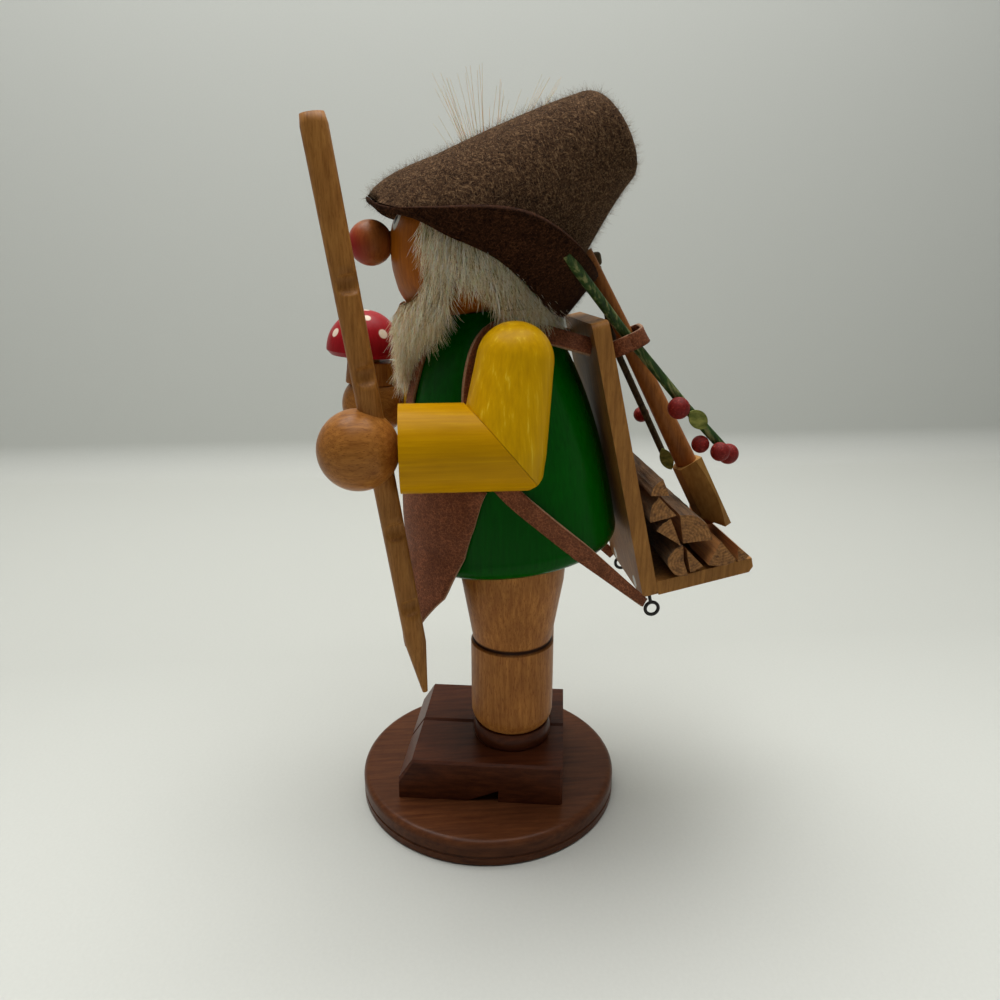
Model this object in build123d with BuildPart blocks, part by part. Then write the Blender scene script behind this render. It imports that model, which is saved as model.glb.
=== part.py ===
from build123d import *
from math import cos, radians, sin, sqrt
import os

os.makedirs("parts", exist_ok=True)

# An incense smoker in the shape of a woodsman. The figure faces -Y, its left hand is on +X, +Z is up.
# Lengths are millimetres, angles are degrees, the origin is the centre of the underside of the base.

# Fits between pieces.
peg_fit = 0.05
slip_fit = 0.1
glue_gap = 0.05
skin_gap = 0.3
over = 1.0

# Base and shoes.
base_radius = 44.3
base_thickness = 8.9
base_round = 2.2
base_chamfer = 0.6
ring_height = 3.2
ring_depth = 0.5
feet_turn = -10.0
shoe_width = 50.0
shoe_front = 27.5
shoe_back = 26.5
shoe_height = 14.2
toe_slope = 4.5
toe_drop = 7.0
arch_front = 5.0
heel_front = 5.5
arch_height = 4.2
shoe_seam = 1.0
shoe_edge = 0.8
base_peg_radius = 4.0
base_peg_place = 12.0
base_peg_sunk = 5.0
base_peg_raised = 7.0

# Legs.
collar_height = 6.0
collar_radius = 13.3
collar_bead = 0.8
leg_spread = 6.5
leg_back = 8.8
leg_height = 61.4
ankle_radius = 11.5
boot_radius = 13.8
boot_round = 5.5
boot_height = 29.6
boot_groove = 1.0
trouser_radius = 13.2
knee_radius = 16.7
knee_height = 51.9
hip_radius = 18.0
hip_reach = 6.0
peg_radius = 3.0
foot_peg_sunk = 7.0
foot_peg_raised = 12.0
hip_peg_sunk = 9.0
hip_peg_raised = 5.5

# Coat, which is the smoke chamber, and its floor.
coat_lean = 6.8
coat_height = 76.0
coat_hem = 30.5
hem_swell = 0.7
hem_rise = 2.0
coat_outline = ((33.6, 6.0), (31.8, 26.0), (25.9, 54.0), (21.0, 66.5), (15.6, coat_height))
plug_radius = 24.0
plug_depth = 8.2
floor_drop = 0.8
chamber_radius = 20.5
chamber_height = 48.0
throat_radius = 5.4
throat_height = 64.0
neck_radius = 9.0
neck_length = 7.5
air_hole = 2.2
air_place = 20.2
plate_radius = 10.9
plate_height = 2.6
plate_sheet = 0.6
plate_slope = 1.56
nail_head = 2.0
nail_head_height = 0.8
nail_shank = 0.75
nail_length = 6.0

# Head.
head_forward = 3.6
head_outline = ((13.5, 0.0), (19.6, 4.6), (22.3, 13.5), (21.7, 22.6), (18.6, 29.5), (11.5, 34.6))
head_height = 37.0
bore_radius = 4.7
mouth_radius = 3.2
mouth_height = 8.4
nose_radius = 6.5
nose_sink = 0.7
nose_peg_radius = 2.6
nose_peg_length = 8.0

# Arms and hands.
arm_out = 36.0
arm_forward = 7.4
arm_rise = 40.8
shoulder_in = 3.4
shoulder_back = 3.7
shoulder_rise = 22.7
shoulder_radius = 10.5
elbow_radius = 12.1
elbow_trim = 13.2
forearm_length = 27.8
shoulder_peg_ahead = 3.6
shoulder_peg_rise = 59.5
shoulder_peg_in = 15.0
shoulder_peg_out = 31.0
hand_radius = 11.1
hand_reach = 10.9
wrist_step = 0.2
tenon_radius = 3.5
tenon_length = 9.0

# Staff.
staff_lean = 8.2
staff_behind = 5.1
staff_above = 82.5
staff_below = 74.3
staff_top_radius = 3.45
staff_low_radius = 3.05
staff_point = 16.0
staff_tip_radius = 0.8
staff_knot = 0.5
staff_knots = (43.0, 20.0, -23.0, -46.0)

# Stump and toadstool on the right hand.
stump_tilt = 4.0
stump_rise = 7.3
stump_forward = 0.6
stump_radius = 8.9
stump_top_radius = 8.4
stump_height = 8.0
stem_radius = 5.4
stem_forward = 2.6
stem_show = 1.6
stem_sunk = 6.0
cap_radius = 13.0
cap_height = 15.5
cap_rim = 1.6

# Hat, from the neck: sections across the crown as back, up, half length, half width and tilt.
felt = 1.6
hat_sections = (
    (-7.1, 16.5, 31.9, 26.0, 31.1),
    (7.95, 28.1, 25.1, 24.3, 36.8),
    (23.9, 40.4, 18.0, 19.6, 46.4),
    (37.4, 49.0, 13.05, 15.3, 59.1),
)
crown_round = 3.4
brim_rise = 17.0
brim_flare = 4.0
brim_spread = 3.2
brim_lip = 1.4
brim_edge = (
    (-41.0, 34.0),
    (-29.8, 29.5),
    (-23.8, 26.6),
    (-5.8, 27.1),
    (4.2, 25.8),
    (12.2, 23.5),
    (20.2, 18.8),
    (27.2, 11.0),
    (40.2, -1.0),
)
tuft_out = 26.7
tuft_back = 3.2
tuft_foot = 20.0
tuft_top = 27.5
tuft_foot_radius = 0.6
tuft_top_radius = 1.0
strand_count = 22
strand_spread = 36.0
strand_middle = 0.45
strand_height = 41.0
strand_arch = 4.0
strand_lean = 4.5
strand_thick = 0.38
strand_tip = 0.2

# Fur pieces as seen from the left side and the front, back or across and up from the neck.
fur_outline = ((28.5, -25.0), (25.8, -10.0), (25.6, 0.0), (26.4, 12.0), (25.4, 26.0))
beard_side = (
    (-8.8, 24.0),
    (-16.8, 24.0),
    (-17.4, 13.0),
    (-20.3, 5.5),
    (-24.3, 2.8),
    (-35.8, 1.0),
    (-35.8, -20.0),
    (-24.8, -19.5),
    (-19.3, -12.0),
    (-15.3, -5.0),
    (-12.3, 2.0),
    (-10.3, 10.0),
)
beard_front = ((30.0, 24.0), (30.0, -0.5), (14.0, -10.5), (5.0, -19.5))
hair_side = ((-8.1, 24.0), (-9.6, 11.0), (-8.9, 8.3), (-1.4, 7.0), (2.2, -0.5), (33.0, -0.5), (33.0, 24.0))

# Leather apron and straps.
leather = 1.2
apron_waist = 7.0
apron_flap = ((34.0, apron_waist), (36.2, -2.0), (39.6, -13.0), (39.6, -25.0), (38.6, -33.0))
apron_hips = (
    (0.0, -36.5),
    (13.0, -29.5),
    (22.0, -18.0),
    (28.2, -7.0),
    (29.6, 4.0),
    (31.1, 15.5),
    (31.4, 27.0),
    (23.0, 30.5),
)
apron_bib = ((12.0, 30.5), (9.5, 27.5), (9.5, 8.5))
strap_width = 5.8
strap_end_width = 1.8
strap_top = 16.5
strap_top_rise = 75.0
knot_room = 1.4
strap_lift = 0.2
strap_path = (
    (5.2, 69.5),
    (-5.8, 73.0),
    (-13.3, 67.0),
    (-15.3, 56.5),
    (-15.8, 46.5),
    (-12.8, 35.5),
    (-5.8, 26.5),
    (3.2, 19.0),
    (13.2, 10.0),
)
strap_inner = 3.0
strap_face = (0.86, 0.5, 0.0)
strap_top_face = (0.8, 0.0, 0.6)
knot_wall = 0.84

# Pack frame on the back.
pack_lean = 12.9
pack_drop = 16.0
board_thickness = 5.0
board_half = 22.0
board_below = 4.8
board_above = 82.0
board_round = 2.0
shelf_length = 31.0
shelf_thickness = 4.5
shelf_bevel = 1.5
shelf_nail_place = 13.0
shelf_nail_length = 14.0
hook_place = 20.0
hook_drop = 4.7
hook_ring = 2.1
hook_wire = 0.55
hook_sunk = 4.0

# Split firewood: heart back and up on the shelf, radius, first and last angle, far and near end.
logs = (
    (9.3, 5.4, 5.2, 85.0, 275.0, -22.6, 23.6),
    (10.9, 8.6, 8.2, -90.0, -58.0, -23.4, 22.8),
    (21.5, 9.0, 8.7, -128.0, -62.0, -22.0, 24.2),
    (26.9, 5.4, 5.0, -100.0, -52.0, -23.0, 23.2),
    (9.0, 10.9, 9.5, 100.0, 135.0, -23.2, 24.0),
    (10.2, 10.95, 9.6, -8.0, 88.0, -22.4, 23.0),
    (9.4, 20.6, 8.8, 122.0, 180.0, -23.6, 23.8),
    (8.0, 27.6, 5.8, 100.0, 165.0, -22.2, 24.4),
)

# Axe, leather loop and twigs, in the pack frame as across, back and up.
axe_top = (-5.0, 2.3, 100.8)
axe_low = (1.5, 27.2, 7.4)
axe_turn = 13.0
axe_top_radius = 2.1
axe_low_radius = 3.4
axe_length = 25.5
axe_poll = 4.3
axe_poll_half = 2.4
axe_eye = 2.6
axe_cheek = 4.3
axe_edge = 11.5
axe_edge_half = 0.4
axe_neck = 9.5
axe_bow = 1.8
loop_height = 72.5
loop_far = 5.8
loop_near = 15.6
loop_front = 4.4
loop_round = 4.0
loop_width = 5.0
loop_strap = 1.3
twig_radius = 1.5
twig_points = ((25.8, -9.2, 102.4), (9.4, 6.0, 77.0), (8.2, 11.0, 68.5), (8.2, 22.0, 48.5), (8.2, 31.4, 33.3))
twig_bends = 6.0
thin_radius = 1.1
thin_points = ((-9.4, 6.2, 95.3), (-6.2, 6.2, 70.8), (-9.6, 17.2, 29.5))
thin_bends = 8.0
cone_radius = 1.7
cone_length = 4.4
cone_belly = 2.0
berry_gap = 0.1
near_berries = ((0.75, 3.4, -29.0), (0.93, 2.8, -90.0), (0.985, 3.0, -25.0))
end_berry = (3.3, -0.8)
far_berry = (0.76, 2.6, 190.0)
near_leaf = (0.8, 7.5, 5.4)
far_leaf = (0.95, 8.5, 4.4)
leaf_thick = 0.5

# Frames.
coat_bottom = base_thickness + shoe_height + collar_height + leg_height
feet = Plane(
    (0, 0, base_thickness),
    x_dir=(cos(radians(feet_turn)), sin(radians(feet_turn)), 0),
    z_dir=(0, 0, 1),
)
coat_frame = Plane(
    (0, leg_back, coat_bottom),
    x_dir=(1, 0, 0),
    z_dir=(0, -sin(radians(coat_lean)), cos(radians(coat_lean))),
)
front_view = Plane(coat_frame.origin, x_dir=(1, 0, 0), z_dir=(0, -1, 0))
side_view = Plane(coat_frame.origin, x_dir=(0, 1, 0), z_dir=(1, 0, 0))
wide = 2 * base_radius


def upright(frame):
    return Plane(frame.origin, x_dir=frame.x_dir, z_dir=-frame.y_dir)


def axis_of(frame):
    return Axis(frame.origin, frame.z_dir)


def at(x, y, z):
    return coat_frame.origin + Vector(x, y, z)


def keep(part, name):
    part.label = name
    export_step(part, f"parts/{name}.step")


def turned(frame, outline):
    with BuildPart() as piece:
        with BuildSketch(upright(frame)):
            with BuildLine():
                Polyline(*outline, close=True)
            make_face()
        revolve(axis=axis_of(frame))
    return piece.part


def dowel(frame, radius, low, high, places=((0, 0),)):
    with BuildPart() as piece:
        with BuildSketch(frame.offset(low)):
            with Locations(*places):
                Circle(radius)
        extrude(amount=high - low)
    return piece.part


def between(start, end):
    return Plane(start, z_dir=end - start)


# Base.
base_places = ((-base_peg_place, 0), (base_peg_place, 0))
with BuildPart() as base_disc:
    Cylinder(base_radius, base_thickness, align=(Align.CENTER, Align.CENTER, Align.MIN))
    fillet(base_disc.edges().group_by(Axis.Z)[-1], base_round)
    chamfer(base_disc.edges().group_by(Axis.Z)[0], base_chamfer)
    with BuildSketch(Plane.XZ):
        with Locations((base_radius, ring_height)):
            Circle(ring_depth)
    revolve(axis=Axis.Z, mode=Mode.SUBTRACT)
    add(dowel(feet, base_peg_radius + peg_fit, -base_peg_sunk, over, base_places), mode=Mode.SUBTRACT)
keep(base_disc.part, "base_disc")

with BuildPart() as base_pegs:
    add(dowel(feet, base_peg_radius, peg_fit - base_peg_sunk, base_peg_raised - peg_fit, base_places))
keep(base_pegs.part, "base_pegs")

# Shoes: one block, a bevelled seam shows where the two shoes meet.
leg_foot = feet.to_local_coords(coat_frame.origin)
leg_places = ((leg_foot.X - leg_spread, leg_foot.Y), (leg_foot.X + leg_spread, leg_foot.Y))
ankle = feet.offset(shoe_height)
shoe_side = Plane(feet.origin + (0, 0, glue_gap), x_dir=feet.y_dir, z_dir=feet.x_dir)
with BuildPart() as shoe_block:
    with BuildSketch(shoe_side):
        with BuildLine():
            Polyline(
                (-shoe_front, 0),
                (-arch_front, 0),
                (heel_front, arch_height),
                (heel_front, 0),
                (shoe_back, 0),
                (shoe_back, shoe_height - glue_gap),
                (toe_slope - shoe_front, shoe_height - glue_gap),
                (-shoe_front, shoe_height - toe_drop),
                close=True,
            )
        make_face()
    extrude(amount=shoe_width / 2)
    across = Axis(feet.origin, feet.x_dir)
    sole = base_thickness + arch_height
    seam_edges = shoe_block.faces().sort_by(across)[0].edges()
    chamfer(seam_edges.filter_by(lambda edge: edge.center().Z > sole), shoe_seam)
    side_edges = shoe_block.faces().sort_by(across)[-1].edges()
    chamfer(side_edges.filter_by(lambda edge: edge.center().Z > sole), shoe_edge)
    mirror(about=shoe_side)
    add(dowel(feet, base_peg_radius + peg_fit, 0, base_peg_raised, base_places), mode=Mode.SUBTRACT)
    add(dowel(ankle, peg_radius + peg_fit, -foot_peg_sunk, over, leg_places), mode=Mode.SUBTRACT)
keep(shoe_block.part, "shoe_block")

# Legs and ankle collars: turned, then flattened where the pair is glued together.
with BuildPart() as foot_pegs:
    foot_top = collar_height + foot_peg_raised
    add(dowel(ankle, peg_radius, peg_fit - foot_peg_sunk, foot_top - peg_fit, leg_places))
keep(foot_pegs.part, "foot_pegs")

hip_places = tuple(
    (side * leg_spread * cos(radians(feet_turn)), side * leg_spread * sin(radians(feet_turn)))
    for side in (-1, 1)
)
with BuildPart() as hip_pegs:
    add(dowel(coat_frame, peg_radius, peg_fit - hip_peg_sunk, hip_peg_raised - peg_fit, hip_places))
keep(hip_pegs.part, "hip_pegs")


def leg_frame(side, height):
    place = feet.from_local_coords((leg_foot.X + side * leg_spread, leg_foot.Y, height))
    return Plane(place, x_dir=feet.x_dir, z_dir=feet.z_dir)


def inner_side(side):
    middle = feet.from_local_coords((leg_foot.X + side * glue_gap, leg_foot.Y, 0))
    return Plane(middle, x_dir=feet.z_dir, z_dir=side * feet.x_dir)


def collar(side):
    frame = leg_frame(side, shoe_height)
    with BuildPart() as piece:
        with BuildSketch(upright(frame)):
            with BuildLine():
                edge = collar_radius - collar_bead
                top = collar_height - glue_gap
                lower = Line((0, 0), (edge, 0))
                bead = ThreePointArc(lower @ 1, (collar_radius, collar_height / 2), (edge, top))
                Polyline(bead @ 1, (0, top), lower @ 0)
            make_face()
        revolve(axis=axis_of(frame))
        split(bisect_by=inner_side(side), keep=Keep.TOP)
        add(dowel(frame, peg_radius + peg_fit, -over, collar_height + over), mode=Mode.SUBTRACT)
    return piece.part


def leg(side):
    frame = leg_frame(side, shoe_height + collar_height)
    with BuildPart() as piece:
        with BuildSketch(upright(frame)):
            with BuildLine():
                foot = Line((0, 0), (ankle_radius, 0))
                heel = Spline(foot @ 1, (boot_radius, boot_round), tangents=((1, 1), (0, 1)))
                Polyline(
                    heel @ 1,
                    (boot_radius, boot_height),
                    (boot_radius - boot_groove, boot_height + boot_groove),
                    (trouser_radius, boot_height + 2 * boot_groove),
                    (knee_radius, knee_height),
                    (hip_radius, leg_height + hip_reach),
                    (0, leg_height + hip_reach),
                    foot @ 0,
                )
            make_face()
        revolve(axis=axis_of(frame))
        split(bisect_by=inner_side(side), keep=Keep.TOP)
        split(bisect_by=coat_frame.offset(-floor_drop - glue_gap), keep=Keep.BOTTOM)
        add(dowel(frame, peg_radius + peg_fit, -over, foot_peg_raised), mode=Mode.SUBTRACT)
        add(dowel(coat_frame, peg_radius + peg_fit, -hip_peg_sunk, over, hip_places), mode=Mode.SUBTRACT)
    return piece.part


keep(collar(1), "ankle_collar_left")
keep(collar(-1), "ankle_collar_right")
keep(leg(1), "leg_left")
keep(leg(-1), "leg_right")

# Floor of the smoke chamber with the tin dish for the cone.
floor_top = plug_depth - glue_gap
with BuildPart() as smoke_floor:
    add(dowel(coat_frame, plug_radius, -floor_drop, floor_top))
    air_places = ((0, -air_place), (0, air_place))
    add(dowel(coat_frame, air_hole, -floor_drop - over, floor_top + over, air_places), mode=Mode.SUBTRACT)
    hip_hole = dowel(coat_frame, peg_radius + peg_fit, -floor_drop - over, hip_peg_raised, hip_places)
    add(hip_hole, mode=Mode.SUBTRACT)
    nail_hole = dowel(coat_frame, nail_shank + peg_fit, floor_top - nail_length, floor_top + over)
    add(nail_hole, mode=Mode.SUBTRACT)
keep(smoke_floor.part, "smoke_floor")

dish = coat_frame.offset(plug_depth)
dish_floor = plate_radius - plate_slope
with BuildPart() as burner_plate:
    dish_outline = (
        (nail_shank + peg_fit, 0),
        (dish_floor, 0),
        (plate_radius, plate_height),
        (plate_radius - plate_sheet, plate_height),
        (dish_floor - plate_sheet / 2, plate_sheet),
        (nail_shank + peg_fit, plate_sheet),
    )
    add(turned(dish, dish_outline))
keep(burner_plate.part, "burner_plate")

with BuildPart() as plate_nail:
    add(dowel(dish, nail_shank, peg_fit - nail_length, plate_sheet + glue_gap + nail_head_height))
    head_base = plate_sheet + glue_gap
    add(dowel(dish, nail_head, head_base, head_base + nail_head_height))
keep(plate_nail.part, "plate_nail")


# Coat.
def coat_form(grow, low=0.0):
    with BuildPart() as piece:
        with BuildSketch(upright(coat_frame)):
            with BuildLine():
                points = [(radius + grow, height) for radius, height in coat_outline]
                hem = Line((0, low), (coat_hem + grow, low))
                Line(hem @ 1, points[0])
                side = Spline(points)
                Polyline(side @ 1, (points[-1][0], coat_height + grow), (0, coat_height + grow), hem @ 0)
            make_face()
        revolve(axis=axis_of(coat_frame))
    return piece.part


arm_pegs = Plane(at(0, -shoulder_peg_ahead, shoulder_peg_rise), z_dir=(1, 0, 0))
with BuildPart() as coat:
    with BuildSketch(upright(coat_frame)):
        with BuildLine():
            hem = Line((plug_radius + slip_fit, 0), (coat_hem, 0))
            edge = ThreePointArc(hem @ 1, (coat_outline[0][0] - hem_swell, hem_rise), coat_outline[0])
            side = Spline(coat_outline)
            Polyline(
                side @ 1,
                (neck_radius + peg_fit, coat_height),
                (neck_radius + peg_fit, coat_height - neck_length - glue_gap),
                (throat_radius, coat_height - neck_length - glue_gap),
                (throat_radius, throat_height),
                (chamber_radius, chamber_height),
                (chamber_radius, plug_depth),
                (plug_radius + slip_fit, plug_depth),
                hem @ 0,
            )
        make_face()
    revolve(axis=axis_of(coat_frame))
    for side in (-1, 1):
        reach = (shoulder_peg_in, shoulder_peg_out) if side > 0 else (-shoulder_peg_out, -shoulder_peg_in)
        add(dowel(arm_pegs, peg_radius + peg_fit, *reach), mode=Mode.SUBTRACT)
keep(coat.part, "coat")

with BuildPart() as shoulder_pegs:
    add(dowel(arm_pegs, peg_radius, shoulder_peg_in + peg_fit, shoulder_peg_out - peg_fit))
    add(dowel(arm_pegs, peg_radius, peg_fit - shoulder_peg_out, -shoulder_peg_in - peg_fit))
keep(shoulder_pegs.part, "shoulder_pegs")

# Head, nose, fur.
neck = coat_frame.offset(coat_height + glue_gap)
head_frame = Plane(neck.from_local_coords((0, -head_forward, 0)), x_dir=(1, 0, 0), z_dir=neck.z_dir)
head_front = Plane(neck.origin, x_dir=(1, 0, 0), z_dir=(0, -1, 0))
head_side = Plane(neck.origin, x_dir=(0, 1, 0), z_dir=(1, 0, 0))


def head_form(grow):
    with BuildPart() as piece:
        with BuildSketch(upright(head_frame)):
            with BuildLine():
                points = [(radius + grow, height) for radius, height in head_outline]
                chin = Line((0, -grow), (points[0][0], -grow))
                if grow:
                    Line(chin @ 1, points[0])
                side = Spline(points + [(0, head_height + grow)], tangents=((1, 0.6), (-1, 0)))
                Line(side @ 1, chin @ 0)
            make_face()
        revolve(axis=axis_of(head_frame))
    return piece.part


nose_level = head_outline[3]
nose_centre = head_frame.from_local_coords((0, nose_sink - nose_level[0] - nose_radius, nose_level[1]))
nose_frame = Plane(nose_centre, x_dir=(1, 0, 0), z_dir=head_frame.y_dir)
mouth_start = head_frame.from_local_coords((0, head_forward, mouth_height))
mouth = Plane(mouth_start, x_dir=(1, 0, 0), z_dir=(0, -1, 0))
bore_top = mouth_height + bore_radius
with BuildPart() as head:
    add(head_form(0))
    add(dowel(neck, neck_radius, -neck_length, mouth_height))
    add(dowel(neck, bore_radius, -neck_length - over, bore_top), mode=Mode.SUBTRACT)
    add(dowel(mouth, mouth_radius, 0, 2 * coat_hem), mode=Mode.SUBTRACT)
    with Locations(nose_centre):
        Sphere(nose_radius + glue_gap, mode=Mode.SUBTRACT)
    nose_hole = dowel(nose_frame, nose_peg_radius + peg_fit, 0, nose_radius + nose_peg_length)
    add(nose_hole, mode=Mode.SUBTRACT)
keep(head.part, "head")

with BuildPart() as nose:
    with Locations(nose_centre):
        Sphere(nose_radius)
    add(dowel(nose_frame, nose_peg_radius, 0, nose_radius + nose_peg_length - peg_fit))
keep(nose.part, "nose")


# Hat: a lofted felt crown and a turned-up brim, trimmed to its edge line.
def hat_plane(back, up, tilt):
    rise = (0, sin(radians(tilt)), cos(radians(tilt)))
    return Plane(neck.origin + Vector(0, back, up), x_dir=(1, 0, 0), z_dir=rise)


hat_planes = [hat_plane(back, up, tilt) for back, up, length, half, tilt in hat_sections]
hat_mouth = hat_planes[0]


def crown_form(inset):
    with BuildPart() as piece:
        for plane, (back, up, length, half, tilt) in zip(hat_planes, hat_sections):
            with BuildSketch(plane.offset(-inset)):
                Ellipse(half - inset, length - inset)
        loft()
        top = piece.faces().sort_by(axis_of(hat_planes[-1]))[-1]
        fillet(top.edges(), crown_round - inset)
    return piece.part


def brim_form(inset):
    length, half = hat_sections[0][2:4]
    with BuildPart() as piece:
        with BuildSketch(hat_mouth):
            Ellipse(half + brim_lip - inset, length + brim_lip - inset)
        with BuildSketch(hat_mouth.offset(brim_rise)):
            Ellipse(half + brim_flare + felt - inset, length + brim_spread + felt - inset)
        loft()
    return piece.part


with BuildPart() as hat:
    add(brim_form(0))
    add(brim_form(felt), mode=Mode.SUBTRACT)
    with BuildSketch(head_side):
        with BuildLine():
            rim = Spline(brim_edge)
            Polyline(rim @ 1, (wide, -wide), (-wide, -wide), rim @ 0)
        make_face()
    extrude(amount=wide, both=True, mode=Mode.INTERSECT)
    add(crown_form(0))
    add(crown_form(felt), mode=Mode.SUBTRACT)
keep(hat.part, "hat")

# Bristle tuft on the far side of the hat.
tuft_root = neck.origin + Vector(-tuft_out, tuft_back, tuft_foot)
tuft_crown = neck.origin + Vector(-tuft_out, tuft_back, tuft_top)
with BuildPart() as hat_tuft:
    with BuildSketch(Plane(tuft_root, z_dir=(0, 0, 1))):
        RegularPolygon(tuft_foot_radius, 6)
    with BuildSketch(Plane(tuft_crown, z_dir=(0, 0, 1))):
        RegularPolygon(tuft_top_radius, 6)
    loft()
    for number in range(strand_count):
        share = number / (strand_count - 1)
        swing = strand_spread * (share - strand_middle)
        rise = strand_height - strand_arch * (2 * share - 1) ** 2 - strand_arch * ((number * 5) % 7) / 7
        lean = strand_lean * (1 + ((number * 3) % 5 - 2) / 5)
        start = tuft_crown - Vector(0, 0, 2 * tuft_top_radius)
        end = start + Vector(lean, swing, rise)
        line = between(start, end)
        with BuildSketch(line):
            RegularPolygon(strand_thick, 4)
        with BuildSketch(line.offset((end - start).length)):
            RegularPolygon(strand_tip, 4)
        loft()
keep(hat_tuft.part, "hat_tuft")


# Fur: the beard strip round the face and the hair at the back.
def fur(side_outline, front_outline, room):
    with BuildPart() as piece:
        add(turned(head_frame, ((0, fur_outline[0][1]), *fur_outline, (0, fur_outline[-1][1]))))
        with BuildSketch(head_side):
            with BuildLine():
                Polyline(*side_outline, close=True)
            make_face()
        extrude(amount=wide, both=True, mode=Mode.INTERSECT)
        if front_outline:
            with BuildSketch(head_front):
                with BuildLine():
                    Polyline(*front_outline, *[(-x, z) for x, z in reversed(front_outline)], close=True)
                make_face()
            extrude(amount=wide, both=True, mode=Mode.INTERSECT)
        add(head_form(skin_gap), mode=Mode.SUBTRACT)
        add(coat_form(room), mode=Mode.SUBTRACT)
        split(bisect_by=hat_mouth.offset(-skin_gap), keep=Keep.BOTTOM)
    return piece.part


leather_room = skin_gap + leather + skin_gap
keep(fur(beard_side, beard_front, leather_room), "beard")
keep(fur(hair_side, None, leather_room), "back_hair")

# Apron: it follows the coat and hangs free below the hem.
with BuildPart() as apron:
    add(coat_form(skin_gap + leather))
    add(coat_form(skin_gap), mode=Mode.SUBTRACT)
    split(bisect_by=coat_frame.offset(apron_waist), keep=Keep.TOP)
    flap = [(radius + leather, height) for radius, height in reversed(apron_flap)]
    add(turned(coat_frame, (*apron_flap, *flap)))
    with BuildSketch(front_view):
        with BuildLine():
            half = (*apron_hips, *[(x, coat_height - drop) for x, drop in apron_bib])
            Polyline(*half, *[(-x, z) for x, z in reversed(half[1:])], close=True)
        make_face()
    extrude(amount=wide, mode=Mode.INTERSECT)
keep(apron.part, "apron")

# Pack frame: the board leans on the coat where the coat reaches out most.
lean_between = radians(pack_lean - coat_lean)
board_reach = max(radius * cos(lean_between) + height * sin(lean_between) for radius, height in coat_outline)
pack_out = Vector(0, cos(radians(pack_lean)), sin(radians(pack_lean)))
pack_up = Vector(0, -sin(radians(pack_lean)), cos(radians(pack_lean)))
pack_corner = coat_frame.origin + (board_reach + skin_gap + board_thickness) * pack_out - pack_drop * pack_up
pack = Plane(pack_corner, x_dir=(1, 0, 0), z_dir=pack_up)
pack_side = Plane(pack_corner, x_dir=pack_out, z_dir=(1, 0, 0))
hook_mid = -board_thickness / 2
hook_places = [(side * hook_place, hook_mid) for side in (-1, 1)]
nail_places = [(side * shelf_nail_place, shelf_thickness / 2) for side in (-1, 1)]
nail_plane = Plane(pack_corner - board_thickness * pack_out, x_dir=(1, 0, 0), z_dir=pack_out)


def board_form(grow):
    with BuildPart() as piece:
        with BuildSketch(pack_side):
            with Locations((-board_thickness / 2, (board_above - board_below) / 2)):
                Rectangle(board_thickness + 2 * grow, board_above + board_below + 2 * grow)
        extrude(amount=board_half + grow, both=True)
    return piece.part


with BuildPart() as back_board:
    add(board_form(0))
    corner_edges = back_board.edges().filter_by(Axis(pack_corner, pack_out))
    fillet(corner_edges, board_round)
    hook_hole = dowel(pack, hook_wire + peg_fit, -board_below - over, hook_sunk - board_below, hook_places)
    add(hook_hole, mode=Mode.SUBTRACT)
    nail_through = dowel(nail_plane, nail_shank + peg_fit, -over, board_thickness + over, nail_places)
    add(nail_through, mode=Mode.SUBTRACT)
    add(dowel(nail_plane, nail_head + peg_fit, -over, nail_head_height, nail_places), mode=Mode.SUBTRACT)
keep(back_board.part, "back_board")

with BuildPart() as shelf:
    with BuildSketch(pack_side):
        with BuildLine():
            Polyline(
                (glue_gap, 0),
                (shelf_length, 0),
                (shelf_length, shelf_bevel - shelf_thickness),
                (shelf_length - shelf_bevel, -shelf_thickness),
                (glue_gap, -shelf_thickness),
                close=True,
            )
        make_face()
    extrude(amount=board_half, both=True)
    nail_reach = shelf_nail_length + peg_fit
    add(dowel(nail_plane, nail_shank + peg_fit, 0, nail_reach, nail_places), mode=Mode.SUBTRACT)
keep(shelf.part, "shelf")

with BuildPart() as shelf_nails:
    add(dowel(nail_plane, nail_shank, 0, shelf_nail_length, nail_places))
    add(dowel(nail_plane, nail_head, 0, nail_head_height - peg_fit, nail_places))
keep(shelf_nails.part, "shelf_nails")

hook_ring_up = -board_below - hook_drop


def hook(side):
    centre = pack.from_local_coords((side * hook_place, hook_mid, hook_ring_up))
    ring = Plane(centre, x_dir=pack_up, z_dir=(1, 0, 0))
    with BuildPart() as piece:
        with Locations(ring):
            Torus(hook_ring, hook_wire)
        stem_foot = Plane(centre, x_dir=(1, 0, 0), z_dir=pack_up)
        add(dowel(stem_foot, hook_wire, hook_ring, hook_drop + hook_sunk - peg_fit))
    return piece.part


keep(hook(1), "strap_hook_left")
keep(hook(-1), "strap_hook_right")


# Straps: over the shoulder and under the arm, then free to the hook on the board.
def strap_band(side, width, low, high):
    with BuildPart() as piece:
        add(coat_form(high))
        add(coat_form(low), mode=Mode.SUBTRACT)
        with BuildSketch(side_view.offset(side * strap_inner)):
            with BuildLine():
                Spline(strap_path)
            trace(line_width=width)
        extrude(amount=side * wide, mode=Mode.INTERSECT)
    return piece.part


def coat_reach(height):
    for (low_radius, low), (high_radius, high) in zip(coat_outline, coat_outline[1:]):
        if height <= high:
            return low_radius + (height - low) / (high - low) * (high_radius - low_radius)
    return coat_outline[-1][0]


def on_coat(side, back, up):
    local = coat_frame.to_local_coords(at(0, back, up))
    radius = coat_reach(local.Z) + strap_lift + leather / 2
    return at(side * sqrt(radius**2 - local.Y**2), back, up)


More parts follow.
